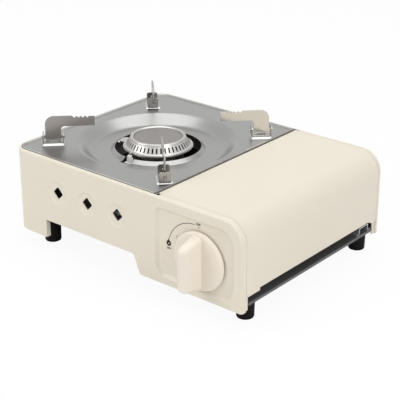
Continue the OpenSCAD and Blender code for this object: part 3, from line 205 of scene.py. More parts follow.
def rounded(points: Profile, radii: Sequence[float], steps: int = 5) -> Profile:
    """Round the corners of a profile with arcs.

    Args:
        points: the corners of the profile.
        radii: the radius at each corner, 0 where it stays sharp.
        steps: the number of stretches in an arc.

    Returns:
        The profile with its corners replaced by arcs.
    """
    result: Profile = []
    for k, (point, radius) in enumerate(zip(points, radii)):
        here = Vector(point)
        if radius == 0 or k in (0, len(points) - 1):
            result.append(point)
            continue
        back = (Vector(points[k - 1]) - here).normalized()
        ahead = (Vector(points[k + 1]) - here).normalized()
        half = back.angle(ahead) / 2
        middle = here + (back + ahead).normalized() * radius / math.sin(half)
        start = here + back * radius / math.tan(half) - middle
        turn = math.pi - 2 * half
        if start.x * ahead.y - start.y * ahead.x < 0:
            turn = -turn
        for step in range(steps + 1):
            angle = turn * step / steps
            result.append(
                (
                    middle.x + start.x * math.cos(angle) - start.y * math.sin(angle),
                    middle.y + start.x * math.sin(angle) + start.y * math.cos(angle),
                )
            )
    return result


def turned(
    name: str, profile: Profile, foot: Vector, axis: Vector, steps: int = 96
) -> bpy.types.Object:
    """Spin a profile into a closed turned piece.

    Args:
        name: the piece's name.
        profile: radius and height of each point, in millimetres, along the section's outline.
        foot: the point on the axis at height 0.
        axis: the direction of the axis.
        steps: the number of stretches round the axis.

    Returns:
        The turned piece.
    """
    out = axis.orthogonal().normalized()
    places = [foot + out * r * MM + axis * h * MM for r, h in profile]
    deselect()
    bpy.ops.mesh.primitive_plane_add(size=MM, location=places[0])
    piece = settle(bpy.context.object, name)
    edit(piece)
    bpy.ops.mesh.merge(type="CENTER")
    for start, end in zip(places, places[1:]):
        bpy.ops.mesh.extrude_vertices_move(TRANSFORM_OT_translate={"value": end - start})
    bpy.ops.mesh.select_all(action="SELECT")
    bpy.ops.mesh.spin(steps=steps, angle=2 * math.pi, center=foot, axis=axis)
    bpy.ops.mesh.select_all(action="SELECT")
    bpy.ops.mesh.remove_doubles(threshold=MM / 500)
    bpy.ops.mesh.normals_make_consistent(inside=False)
    bpy.ops.object.mode_set(mode="OBJECT")
    return piece


def block(name: str, low: Vector, high: Vector) -> bpy.types.Object:
    """Add a box between two corners, as the start of a piece or as a cutting tool."""
    deselect()
    bpy.ops.mesh.primitive_cube_add(size=1, location=(low + high) / 2, scale=high - low)
    return settle(bpy.context.object, name)


def copied(node: str, name: str) -> bpy.types.Object:
    """Copy a CAD node's mesh into a new piece, with its loose triangles merged into faces and
    its stored normals dropped, so that its own sharp edges count.

    Args:
        node: the CAD node.
        name: the new piece's name.

    Returns:
        The copy, which rides on nothing yet.
    """
    pick(frame["nodes"][node])
    bpy.ops.object.duplicate()
    copy = bpy.context.object
    bpy.ops.object.parent_clear(type="CLEAR_KEEP_TRANSFORM")
    settle(copy, name)
    edit(copy)
    bpy.ops.mesh.remove_doubles(threshold=MM / 1000)
    bpy.ops.mesh.dissolve_limited(angle_limit=math.radians(0.2))
    bpy.ops.object.mode_set(mode="OBJECT")
    bpy.ops.mesh.customdata_custom_splitnormals_clear()
    copy.data.materials.clear()
    return copy


def eased(node: str, name: str, radius_mm: float) -> bpy.types.Object:
    """Copy a CAD node and round its edges slightly, as on pressed and tumbled parts.

    Args:
        node: the CAD node.
        name: the new piece's name.
        radius_mm: the radius of the rounded edges.

    Returns:
        The eased copy.
    """
    copy = copied(node, name)
    modified(
        copy, "BEVEL", width=radius_mm * MM, segments=2, limit_method="ANGLE",
        angle_limit=math.radians(40), use_clamp_overlap=True,
    )
    return smooth(copy)


# ------------------------------------------------------------------ finishes


def linear(rgb: tuple[int, int, int]) -> tuple[float, float, float, float]:
    """Turn a colour of 0 to 255 into the linear colour that a shader takes."""
    channels = [c / 255 for c in rgb]
    values = [c / 12.92 if c <= 0.04045 else ((c + 0.055) / 1.055) ** 2.4 for c in channels]
    return (values[0], values[1], values[2], 1.0)


class Sheet:
    """A node tree that is filled from left to right."""

    def __init__(self, tree: bpy.types.NodeTree) -> None:
        """Start on an empty or new tree."""
        self.tree = tree
        self.column = 0

    def add(self, kind: str, properties: dict | None = None, **inputs: object) -> bpy.types.Node:
        """Add a node.

        Args:
            kind: the node's type name.
            properties: values of the node's own properties.
            inputs: values or sockets by input name, with _ for a space.

        Returns:
            The new node.
        """
        node = self.tree.nodes.new(kind)
        node.location = (self.column, 0)
        self.column += 180
        for key, value in (properties or {}).items():
            setattr(node, key, value)
        for key, value in inputs.items():
            socket = node.inputs[key.replace("_", " ")]
            if isinstance(value, bpy.types.NodeSocket):
                self.tree.links.new(value, socket)
            else:
                socket.default_value = value
        return node

    def join(self, source: bpy.types.NodeSocket, target: bpy.types.NodeSocket) -> None:
        """Link two sockets."""
        self.tree.links.new(source, target)


def group(
    name: str, inputs: dict[str, tuple[str, float]], outputs: dict[str, str]
) -> tuple[Sheet, bpy.types.Node, bpy.types.Node]:
    """Start a shader node group with named sockets.

    Args:
        name: the group's name.
        inputs: socket type and default value by name.
        outputs: socket type by name.

    Returns:
        The group's sheet, its input node and its output node.
    """
    tree = bpy.data.node_groups.new(name, "ShaderNodeTree")
    for key, (kind, value) in inputs.items():
        socket = tree.interface.new_socket(name=key, in_out="INPUT", socket_type=kind)
        if kind == "NodeSocketFloat":
            socket.default_value = value
    for key, kind in outputs.items():
        tree.interface.new_socket(name=key, in_out="OUTPUT", socket_type=kind)
    sheet = Sheet(tree)
    return sheet, sheet.add("NodeGroupInput"), sheet.add("NodeGroupOutput")


def surface_grain() -> bpy.types.NodeTree:
    """Build the group that gives fine grain and broad drift over a surface.

    Returns:
        A group from a vector and two scales to a fine and a broad value of about 0 to 1.
    """
    sheet, given, result = group(
        "surface_grain",
        {
            "Vector": ("NodeSocketVector", 0.0),
            "Fine Scale": ("NodeSocketFloat", 900.0),
            "Broad Scale": ("NodeSocketFloat", 14.0),
        },
        {"Fine": "NodeSocketFloat", "Broad": "NodeSocketFloat"},
    )
    place = given.outputs["Vector"]
    fine = sheet.add(
        "ShaderNodeTexNoise", Vector=place, Scale=given.outputs["Fine Scale"], Detail=3.0
    )
    broad = sheet.add(
        "ShaderNodeTexNoise", Vector=place, Scale=given.outputs["Broad Scale"], Detail=2.0
    )
    sheet.join(fine.outputs["Fac"], result.inputs["Fine"])
    sheet.join(broad.outputs["Fac"], result.inputs["Broad"])
    return sheet.tree


def drifting_tint() -> bpy.types.NodeTree:
    """Build the group that lets a colour drift between itself and a deeper shade.

    Returns:
        A group from a colour, a mask and an amount to a colour.
    """
    sheet, given, result = group(
        "drifting_tint",
        {
            "Color": ("NodeSocketColor", 0.0),
            "Deep": ("NodeSocketColor", 0.0),
            "Mask": ("NodeSocketFloat", 0.5),
            "Amount": ("NodeSocketFloat", 0.5),
        },
        {"Color": "NodeSocketColor"},
    )
    share = sheet.add("ShaderNodeMath", {"operation": "MULTIPLY", "use_clamp": True})
    sheet.join(given.outputs["Mask"], share.inputs[0])
    sheet.join(given.outputs["Amount"], share.inputs[1])
    mix = sheet.add("ShaderNodeMix", {"data_type": "RGBA"})
    sheet.join(share.outputs[0], mix.inputs[0])
    sheet.join(given.outputs["Color"], mix.inputs[6])
    sheet.join(given.outputs["Deep"], mix.inputs[7])
    sheet.join(mix.outputs[2], result.inputs["Color"])
    return sheet.tree


def rubbed_gloss() -> bpy.types.NodeTree:
    """Build the group that varies roughness with grain and with broad wiping marks.

    Returns:
        A group from a middle roughness, a spread and two masks to a roughness.
    """
    sheet, given, result = group(
        "rubbed_gloss",
        {
            "Roughness": ("NodeSocketFloat", 0.4),
            "Spread": ("NodeSocketFloat", 0.1),
            "Fine": ("NodeSocketFloat", 0.5),
            "Broad": ("NodeSocketFloat", 0.5),
        },
        {"Roughness": "NodeSocketFloat"},
    )
    both = sheet.add("ShaderNodeMath", {"operation": "ADD"})
    sheet.join(given.outputs["Fine"], both.inputs[0])
    sheet.join(given.outputs["Broad"], both.inputs[1])
    centred = sheet.add("ShaderNodeMath", {"operation": "SUBTRACT"})
    sheet.join(both.outputs[0], centred.inputs[0])
    centred.inputs[1].default_value = 1.0
    rough = sheet.add("ShaderNodeMath", {"operation": "MULTIPLY_ADD", "use_clamp": True})
    sheet.join(centred.outputs[0], rough.inputs[0])
    sheet.join(given.outputs["Spread"], rough.inputs[1])
    sheet.join(given.outputs["Roughness"], rough.inputs[2])
    sheet.join(rough.outputs[0], result.inputs["Roughness"])
    return sheet.tree


DRIFT_SCALE = 16.0
COAT_ROUGHNESS = 0.15


class Grain(Enum):
    """How a surface was made, as the stretch of its grain along X, Y and Z."""

    EVEN = (1.0, 1.0, 1.0)
    ROLLED_ACROSS = (0.03, 1.0, 1.0)
    DRAWN_UP = (1.0, 1.0, 0.05)
    TURNED = (0.04, 0.04, 1.0)


@dataclass(frozen=True)
class Finish:
    """One finish of the stove.

    Attributes:
        name: the material's name.
        rgb: the colour, 0 to 255.
        deep: the shade it drifts to.
        roughness: the middle roughness.
        metallic: 1 for bare metal.
        grain: the direction of the grain.
        grain_mm: the size of the grain.
        relief_mm: the height of the grain.
        relief: how strongly the relief shades.
        spread: how far the roughness varies.
        drift: how far the colour drifts.
        coat: the weight of a clear gloss on top.
        specular: how strongly a surface that isn't metal mirrors.
        turning_centre: the axis of a turned grain, in metres.
    """

    name: str
    rgb: tuple[int, int, int]
    deep: tuple[int, int, int]
    roughness: float
    metallic: float = 0.0
    grain: Grain = Grain.EVEN
    grain_mm: float = 1.0
    relief_mm: float = 0.02
    relief: float = 0.3
    spread: float = 0.08
    drift: float = 0.5
    coat: float = 0.0
    specular: float = 0.5
    turning_centre: tuple[float, float, float] = (0.0, 0.0, 0.0)

    def material(self) -> bpy.types.Material:
        """Build the finish's material, or find it where it was built before."""
        title = f"finish_{self.name}"
        found = bpy.data.materials.get(title)
        if found:
            return found
        material = bpy.data.materials.new(title)
        material.use_nodes = True
        material.node_tree.nodes.clear()
        sheet = Sheet(material.node_tree)
        vector = self.grain_vector(sheet)
        grain = sheet.add("ShaderNodeGroup", {"node_tree": bpy.data.node_groups["surface_grain"]})
        sheet.join(vector, grain.inputs["Vector"])
        grain.inputs["Fine Scale"].default_value = 1 / (self.grain_mm * MM)
        grain.inputs["Broad Scale"].default_value = DRIFT_SCALE
        tint = sheet.add("ShaderNodeGroup", {"node_tree": bpy.data.node_groups["drifting_tint"]})
        tint.inputs["Color"].default_value = linear(self.rgb)
        tint.inputs["Deep"].default_value = linear(self.deep)
        tint.inputs["Amount"].default_value = self.drift
        sheet.join(grain.outputs["Broad"], tint.inputs["Mask"])
        gloss = sheet.add("ShaderNodeGroup", {"node_tree": bpy.data.node_groups["rubbed_gloss"]})
        gloss.inputs["Roughness"].default_value = self.roughness
        gloss.inputs["Spread"].default_value = self.spread
        sheet.join(grain.outputs["Fine"], gloss.inputs["Fine"])
        sheet.join(grain.outputs["Broad"], gloss.inputs["Broad"])
        bump = sheet.add("ShaderNodeBump", Strength=self.relief, Distance=self.relief_mm * MM)
        sheet.join(grain.outputs["Fine"], bump.inputs["Height"])
        shader = sheet.add(
            "ShaderNodeBsdfPrincipled", Base_Color=tint.outputs["Color"],
            Roughness=gloss.outputs["Roughness"], Normal=bump.outputs["Normal"],
            Metallic=self.metallic, Coat_Weight=self.coat,
        )
        shader.inputs["Coat Roughness"].default_value = COAT_ROUGHNESS
        shader.inputs["Specular IOR Level"].default_value = self.specular
        output = sheet.add("ShaderNodeOutputMaterial")
        sheet.join(shader.outputs["BSDF"], output.inputs["Surface"])
        return material

    def grain_vector(self, sheet: Sheet) -> bpy.types.NodeSocket:
        """Add the coordinates that the grain runs along.

        Args:
            sheet: the material's sheet.

        Returns:
            The vector socket that feeds the grain.
        """
        place = sheet.add("ShaderNodeTexCoord").outputs["Object"]
        if self.grain is not Grain.TURNED:
            stretch = sheet.add("ShaderNodeVectorMath", {"operation": "MULTIPLY"})
            sheet.join(place, stretch.inputs[0])
            stretch.inputs[1].default_value = self.grain.value
            return stretch.outputs[0]
        inward = sheet.add("ShaderNodeVectorMath", {"operation": "SUBTRACT"})
        sheet.join(place, inward.inputs[0])
        inward.inputs[1].default_value = self.turning_centre
        flat = sheet.add("ShaderNodeVectorMath", {"operation": "MULTIPLY"})
        sheet.join(inward.outputs[0], flat.inputs[0])
        flat.inputs[1].default_value = (1.0, 1.0, 0.0)
        radius = sheet.add("ShaderNodeVectorMath", {"operation": "LENGTH"})
        sheet.join(flat.outputs[0], radius.inputs[0])
        along = sheet.add("ShaderNodeVectorMath", {"operation": "MULTIPLY"})
        sheet.join(inward.outputs[0], along.inputs[0])
        along.inputs[1].default_value = self.grain.value
        ring = sheet.add("ShaderNodeCombineXYZ", X=radius.outputs["Value"])
        both = sheet.add("ShaderNodeVectorMath", {"operation": "ADD"})
        sheet.join(ring.outputs[0], both.inputs[0])
        sheet.join(along.outputs[0], both.inputs[1])
        return both.outputs[0]


BURNER_CENTRE = centre("burner_cap")

CREAM_PAINT = Finish(
    "cream_paint", (232, 225, 209), (228, 219, 201), 0.42, grain_mm=0.9, relief_mm=0.03,
    relief=0.22, coat=0.15,
)
PLATE_STEEL = Finish(
    "plate_steel", (157, 157, 155), (150, 150, 149), 0.29, metallic=1.0, grain=Grain.ROLLED_ACROSS,
    grain_mm=0.35, relief_mm=0.0015, relief=0.1, spread=0.06,
)
# Painted highlight: a lighter steel on the plate's bead top and the pads' slopes, for the light
# they catch.
PLATE_HIGHLIGHT_STEEL = Finish(
    "plate_highlight_steel", (196, 196, 194), (186, 186, 185), 0.26, metallic=1.0, grain_mm=0.4,
    relief_mm=0.0015, relief=0.1, spread=0.06,
)
# Painted shade: a dark steel on the plate's outer edge faces, for the shadow in the gap round the
# plate.
PAINTED_SHADE_STEEL = Finish(
    "painted_shade_steel", (62, 61, 58), (54, 53, 51), 0.5, metallic=1.0, grain_mm=0.4, relief_mm=0.0015,
    relief=0.1,
)
SUPPORT_STEEL = Finish(
    "support_steel", (162, 156, 152), (148, 142, 138), 0.24, metallic=1.0, grain_mm=0.5,
    relief_mm=0.01, spread=0.12,
)
# Painted reflection: a brighter steel for the rear right support, whose broad face mirrors the
# light.
REFLECTION_SUPPORT_STEEL = Finish(
    "painted_reflection_steel", (214, 211, 207), (200, 197, 194), 0.14, metallic=1.0, grain_mm=0.5,
    relief_mm=0.004, relief=0.15,
)
BRACKET_STEEL = Finish(
    "bracket_steel", (176, 174, 171), (164, 163, 161), 0.24, metallic=1.0, grain_mm=0.6,
    relief_mm=0.006, relief=0.25, spread=0.1,
)
BURNER_STEEL = Finish(
    "burner_steel", (190, 188, 185), (172, 170, 168), 0.34, metallic=1.0, grain=Grain.TURNED,
    grain_mm=0.3, relief_mm=0.004, spread=0.1, turning_centre=tuple(BURNER_CENTRE),
)
CAP_STEEL = Finish(
    "cap_steel", (144, 140, 136), (136, 132, 129), 0.40, metallic=1.0, grain=Grain.TURNED,
    grain_mm=1.1, spread=0.1, turning_centre=tuple(BURNER_CENTRE),
)
ZINC_SHEET = Finish(
    "zinc_sheet", (208, 210, 211), (192, 194, 196), 0.45, metallic=1.0, grain_mm=4.0,
    relief_mm=0.004, relief=0.15, spread=0.16,
)
TONGUE_ENAMEL = Finish(
    "tongue_enamel", (230, 230, 227), (222, 222, 219), 0.3, grain_mm=0.5, relief_mm=0.006,
    relief=0.2, coat=0.3,
)
# Painted shade: a dark steel on the hinge rod and front lug, for the shadow in the hinge's holes.
HINGE_SHADE_STEEL = Finish(
    "hinge_shade_steel", (58, 52, 48), (48, 43, 40), 0.4, metallic=1.0, grain_mm=0.5, relief_mm=0.006,
    relief=0.2,
)
TRAY_PAINT = Finish(
    "tray_paint", (92, 94, 93), (80, 82, 82), 0.42, grain_mm=0.8, relief=0.25, coat=0.1,
)
SCREW_STEEL = Finish(
    "bright_screws", (198, 198, 196), (182, 182, 181), 0.3, metallic=1.0, grain_mm=0.5,
    relief_mm=0.004, relief=0.2,
)
FOOT_RUBBER = Finish(
    "foot_rubber", (5, 5, 5), (9, 9, 8), 0.7, grain_mm=0.4, relief=0.4, spread=0.12, specular=0.25,
)
KNOB_PLASTIC = Finish(
    "knob_plastic", (240, 231, 217), (236, 227, 212), 0.45, grain_mm=0.35, relief_mm=0.01,
    relief=0.2,
)
WHITE_PLASTIC = Finish(
    "white_plastic", (226, 221, 208), (220, 214, 200), 0.45, grain_mm=0.5, relief_mm=0.01,
    relief=0.2,
)
BLACK_PLASTIC = Finish(
    "black_plastic", (30, 30, 31), (38, 38, 38), 0.4, grain_mm=0.4, relief_mm=0.012,
)
SPARK_CERAMIC = Finish(
    "spark_ceramic", (240, 238, 231), (229, 226, 217), 0.3, grain_mm=0.6, relief_mm=0.008,
    relief=0.2, coat=0.4,
)
LEAD_SLEEVE = Finish(
    "lead_sleeve", (214, 214, 210), (200, 200, 195), 0.5, grain_mm=0.5, relief_mm=0.01,
)
BRASS_PARTS = Finish(
    "brass_parts", (197, 160, 92), (172, 134, 74), 0.32, metallic=1.0, grain=Grain.DRAWN_UP,
    grain_mm=0.4, relief_mm=0.006, spread=0.1,
)
CAST_ALLOY = Finish(
    "cast_alloy", (172, 174, 176), (154, 156, 159), 0.5, metallic=1.0, grain_mm=0.7, relief_mm=0.04,
    relief=0.5, spread=0.12,
)
SEAL_RUBBER = Finish("seal_rubber", (28, 58, 40), (36, 66, 48), 0.5, grain_mm=0.4, relief_mm=0.01)
MAGNET_FERRITE = Finish("magnet_ferrite", (62, 62, 64), (52, 52, 54), 0.6, grain_mm=0.5, relief=0.4)
DIAL_INK = Finish(
    "dial_ink", (44, 26, 8), (52, 33, 14), 0.8, grain_mm=0.3, relief_mm=0.004, relief=0.2,
)

FINISH_OF_SLOT = {
    "body_paint": CREAM_PAINT,
    "plate_steel": PLATE_STEEL,
    "support_steel": SUPPORT_STEEL,
    "bracket_steel": BRACKET_STEEL,
    "burner_steel": BURNER_STEEL,
    "zinc_sheet": ZINC_SHEET,
    "tray_paint": TRAY_PAINT,
    "bright_screws": SCREW_STEEL,
    "foot_rubber": FOOT_RUBBER,
    "knob_plastic": KNOB_PLASTIC,
    "white_plastic": WHITE_PLASTIC,
    "black_plastic": BLACK_PLASTIC,
    "spark_ceramic": SPARK_CERAMIC,
    "lead_sleeve": LEAD_SLEEVE,
    "brass_parts": BRASS_PARTS,
    "cast_alloy": CAST_ALLOY,
    "seal_rubber": SEAL_RUBBER,
    "magnet_ferrite": MAGNET_FERRITE,
}
FINISH_OF_NODE = {
    "igniter_bracket": TONGUE_ENAMEL,
    # The hinge rod and front lug are painted dark, as painted shade for the shadow in the hinge's
    # holes.
    "hinge_rod": HINGE_SHADE_STEEL,
    "hinge_lug_front": HINGE_SHADE_STEEL,
}


def dress_nodes() -> None:
    """Give every CAD node its own finish, or the one of its slot in the record."""
    for part in frame["record"]["subparts"]:
        node = frame["nodes"][part["node"]]
        finish = FINISH_OF_NODE.get(part["node"], FINISH_OF_SLOT[part["material_slot"]])
        material = finish.material()
        for slot in node.material_slots:
            slot.material = material


def fit(piece: bpy.types.Object, finish: Finish, slot: str, body: str, *nodes: str) -> None:
    """Finish a new piece, put it on its body and let it stand for CAD nodes.

    Args:
        piece: the new piece.
        finish: its finish.
        slot: the record's slot that the finish belongs to; not used.
        body: the body that it rides on.
        nodes: the CAD nodes that it stands for, if any.
    """
    piece.data.materials.clear()
    piece.data.materials.append(finish.material())
    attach(piece, body)
    if nodes:
        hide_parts(*nodes)
    log.info("%s: %d faces, on %s", piece.name, len(piece.data.polygons), body)


# ------------------------------------------------------------------ top plate


class PlateLightZone(Enum):
    """Painted light on the top plate, as the slot of its material: plain steel, painted highlight
    or painted shade.
    """

    PLAIN = 0
    BURNISHED = 1
    SHADED = 2


@dataclass
class TopPlate:
    """The pressed steel plate with its dish, pads and rounded edge. Lengths are millimetres, and a
    lift is the upward part of a face's direction."""

    body: str = "stove_body"
    smooth_angle: float = 32.0
    bead_w: float = 2.4
    bead_top_lift: float = 0.85
    slope_lifts: tuple[float, float] = (0.6, 0.8)
    pad_reach: float = 3.5

    def pads(self) -> list[tuple[Vector, Vector]]:
        """Lowest and highest corner of the raised pad under each bracket."""
        reach = Vector((self.pad_reach, self.pad_reach, 0)) * MM
        brackets = [box(f"support_bracket_{corner}") for corner in CORNERS]
        return [(low - reach, high + reach) for low, high in brackets]

    def zone(
        self, face: bpy.types.MeshPolygon, low: Vector, high: Vector,
        pads: list[tuple[Vector, Vector]],
    ) -> PlateLightZone:
        """Sort a face into plain steel, painted highlight or painted shade.

        Args:
            face: a face of the plate.
            low: the plate's lowest corner.
            high: the plate's highest corner.
            pads: the lowest and highest corner of each pad.

        Returns:
            A painted highlight on the bead's top and the pads' slopes, a painted shade on the edge
            faces that turn into the gap round the plate, plain steel elsewhere.
        """
        spot, lift = face.center, face.normal.z
        if min(spot.x - low.x, spot.y - low.y, high.y - spot.y) < self.bead_w * MM:
            return PlateLightZone.BURNISHED if lift > self.bead_top_lift else PlateLightZone.SHADED
        on_slope = self.slope_lifts[0] < lift < self.slope_lifts[1]
        on_pad = any(a.x < spot.x < b.x and a.y < spot.y < b.y for a, b in pads)
        return PlateLightZone.BURNISHED if on_slope and on_pad else PlateLightZone.PLAIN

    def build(self) -> None:
        """Merge a copy of the plate, so that its curves shade as pressed, and paint a highlight on
        its bead and pad slopes and a shade along its edge.
        """
        low, high = box("top_plate")
        plate = copied("top_plate", "pressed_top_plate")
        smooth(plate, self.smooth_angle)
        fit(plate, PLATE_STEEL, "plate_steel", self.body, "top_plate")
        # Painted highlight on the bead and the pads' slopes, painted shade on the edge faces in the
        # gap round the plate.
        for finish in (PLATE_HIGHLIGHT_STEEL, PAINTED_SHADE_STEEL):
            plate.data.materials.append(finish.material())
        pads = self.pads()
        for face in plate.data.polygons:
            face.material_index = self.zone(face, low, high, pads).value


# ------------------------------------------------------------------ burner


@dataclass
class Burner:
    """The slotted crown and its cap, about the burner's axis. Sizes are millimetres."""

    body: str = "stove_body"
    flange_r: float = 33.0
    wall_foot_r: float = 31.4
    wall_top_r: float = 27.6
    cap_r: float = 23.5
    wall: float = 1.2
    foot_z: float = 95.0
    wall_foot_z: float = 96.4
    wall_top_z: float = 102.0
    rim_z: float = 104.8
    seat_z: float = 102.6
    seat_w: float = 2.0
    sheet: float = 0.8
    inner_r: float = 25.0
    cap_play: float = 0.1
    cap_t: float = 1.1
    cap_step_w: float = 0.9
    cap_step_h: float = 0.4
    slots: int = 46
    slot_w: float = 1.5
    slot_h: float = 4.4
    slot_foot: float = 0.6
    slot_in: float = 4.0
    slot_out: float = 2.0

    def axis_point(self) -> Vector:
        """Point of the burner's axis at floor height."""
        middle = BURNER_CENTRE
        return Vector((middle.x, middle.y, 0.0))

    def crown(self) -> bpy.types.Object:
        """Spin the crown's section, with a rolled top ring.

        Returns:
            The crown without its slots.
        """
        outline: Profile = [
            (self.flange_r, self.foot_z),
            (self.flange_r, self.foot_z + self.sheet),
            (self.wall_foot_r, self.wall_foot_z),
            (self.wall_top_r, self.wall_top_z),
            (self.wall_top_r - 0.9, self.rim_z - 0.3),
            (self.wall_top_r - 2.6, self.rim_z),
            (self.cap_r + self.cap_play, self.rim_z - 1.0),
            (self.cap_r + self.cap_play, self.seat_z),
            (self.cap_r - self.seat_w, self.seat_z),
            (self.cap_r - self.seat_w, self.seat_z - self.sheet),
            (self.wall_top_r - self.wall - 0.4, self.seat_z - self.sheet),
            (self.wall_top_r - self.wall, self.wall_top_z - 0.6),
            (self.wall_foot_r - self.wall, self.wall_foot_z - 0.4),
            (self.inner_r, self.foot_z + self.sheet + 0.1),
            (self.inner_r, self.foot_z),
            (self.flange_r, self.foot_z),
        ]
        radii = [0, 0.3, 0.6, 1.2, 1.0, 0.9, 0.2, 0, 0, 0, 0, 0, 0, 0, 0, 0]
        return turned(
            "slotted_crown", rounded(outline, radii, 4), self.axis_point(), UP, 4 * self.slots
        )

    def slot_tools(self) -> bpy.types.Object:
        """Make one block per flame slot, all as one cutting body."""
        low_z = (self.wall_foot_z + self.slot_foot) * MM
        start_x = (self.wall_top_r - self.slot_in) * MM
        end_x = (self.wall_foot_r + self.slot_out) * MM
        half = self.slot_w / 2 * MM
        tools = []
        for k in range(self.slots):
            tool = block(
                f"slot_tool_{k}",
                Vector((start_x, -half, low_z)),
                Vector((end_x, half, low_z + self.slot_h * MM)),
            )
            turn = Matrix.Rotation((k + 0.5) * 2 * math.pi / self.slots, 4, "Z")
            tool.matrix_world = Matrix.Translation(self.axis_point()) @ turn
            tools.append(tool)
        return joined(tools, "slot_tools")

    def cap(self) -> bpy.types.Object:
        """Spin the cap, a flat disc with a soft step near its edge."""
        seat = self.seat_z
        top = seat + self.cap_t
        outline: Profile = [
            (0, seat),
            (self.cap_r, seat),
            (self.cap_r, top - self.cap_step_h),
            (self.cap_r - self.cap_step_w, top),
            (0, top),
        ]
        section = rounded(outline, [0, 0.1, 0.25, 0.5, 0], 3)
        return turned("pressed_cap", section, self.axis_point(), UP)

    def build(self) -> None:
        """Build and dress the crown and the cap."""
        crown = cut(self.crown(), self.slot_tools())
        fit(smooth(crown, 40), BURNER_STEEL, "burner_steel", self.body, "burner_crown")
        fit(smooth(self.cap()), CAP_STEEL, "burner_steel", self.body, "burner_cap")


# ------------------------------------------------------------------ pan supports


@dataclass
class PanSupport:
    """One folding support with its bracket, in the finish it is given: plain support steel, or a
    brighter steel as a painted reflection of the light on the support's broad face.
    """

    corner: str
    finish: Finish = SUPPORT_STEEL
    edge_mm: float = 0.25

    def build(self) -> None:
        """Ease the edges of the support and of its bracket."""
        blade_node, bracket_node = f"pot_support_{self.corner}", f"support_bracket_{self.corner}"
        blade = eased(blade_node, f"serrated_support_{self.corner}", self.edge_mm)
        fit(blade, self.finish, "support_steel", f"support_{self.corner}", blade_node)
        bracket = eased(bracket_node, f"pressed_bracket_{self.corner}", self.edge_mm)
        fit(bracket, BRACKET_STEEL, "bracket_steel", "stove_body", bracket_node)


# ------------------------------------------------------------------ knob and dial


@dataclass
class Knob:
    """The moulded knob: a disc with a tapered grip bar. Sizes are millimetres."""

    body: str = "knob_set"
    face: float = 2.5
    wall: float = 1.8
    hub_r: float = 5.0
    rim_round: float = 3.0
    edge_round: float = 0.3
    inner_round: float = 0.8
    bar_base_w: float = 13.4
    bar_front_w: float = 9.4
    bar_base_l: float = 52.0
    bar_front_l: float = 41.0
    bar_round: float = 4.2
    bar_drop: float = 1.2
    bar_root: float = 1.0

    def build(self) -> None:
        """Build the disc and the bar, fuse them and dress the knob."""
        low, high = box("knob")
        radius = (high.x - low.x) / 2 / MM
        panel = box("body_casing")[0].y
        middle = Vector(((low.x + high.x) / 2, panel, (low.z + high.z) / 2))
        back = (high.y - panel) / MM
        out = (panel - low.y) / MM
        disc = self.disc(middle, radius, back)
        bar = self.bar(middle, out)
        knob = cut(disc, bar, "UNION")
        knob.name = "moulded_knob"
        fit(smooth(knob, 40), KNOB_PLASTIC, "knob_plastic", self.body, "knob")

    def disc(self, middle: Vector, radius: float, back: float) -> bpy.types.Object:
        """Spin the disc with its rounded edge, hollow back and hub.

        Args:
            middle: the knob's axis at the panel's face.
            radius: the disc's radius in millimetres.
            back: the depth of its back edge behind the panel's face.

        Returns:
            The disc.
        """
        inside = -self.face + self.wall
        outline: Profile = [
            (0, -self.face), (radius, -self.face), (radius, back), (radius - self.wall, back),
            (radius - self.wall, inside), (self.hub_r, inside), (self.hub_r, back), (0, back),
        ]
        edge, inner = self.edge_round, self.inner_round
        radii = [0, self.rim_round, edge, edge, inner, inner, edge, 0]
        return turned("knob_disc", rounded(outline, radii, 6), middle, INWARD, 128)

    def bar(self, middle: Vector, out: float) -> bpy.types.Object:
        """Shape the grip bar from a block: tapered to the front, with its edges rounded.

        Args:
            middle: the knob's axis at the panel's face.
            out: how far the bar stands out of the panel, in millimetres.

        Returns:
            The bar.
        """
        half = Vector((self.bar_base_w / 2, 0, self.bar_base_l / 2)) * MM
        front_face, root_face = INWARD * out * MM, INWARD * self.bar_root * MM
        bar = block("knob_bar", middle - half - front_face, middle + half - root_face)
        edit(bar, "DESELECT")
        bpy.ops.object.mode_set(mode="OBJECT")
        front = min(v.co.y for v in bar.data.vertices)
        for vertex in bar.data.vertices:
            vertex.select = vertex.co.y < front + MM
        bpy.ops.object.mode_set(mode="EDIT")
        bpy.ops.transform.resize(
            value=(self.bar_front_w / self.bar_base_w, 1, self.bar_front_l / self.bar_base_l),
            center_override=middle,
        )
        bpy.ops.transform.translate(value=(0, 0, -self.bar_drop * MM))
        bpy.ops.mesh.select_all(action="SELECT")
        bpy.ops.mesh.bevel(
            offset=self.bar_round * MM, segments=6, affect="EDGES", clamp_overlap=True
        )
        bpy.ops.object.mode_set(mode="OBJECT")
        return bar


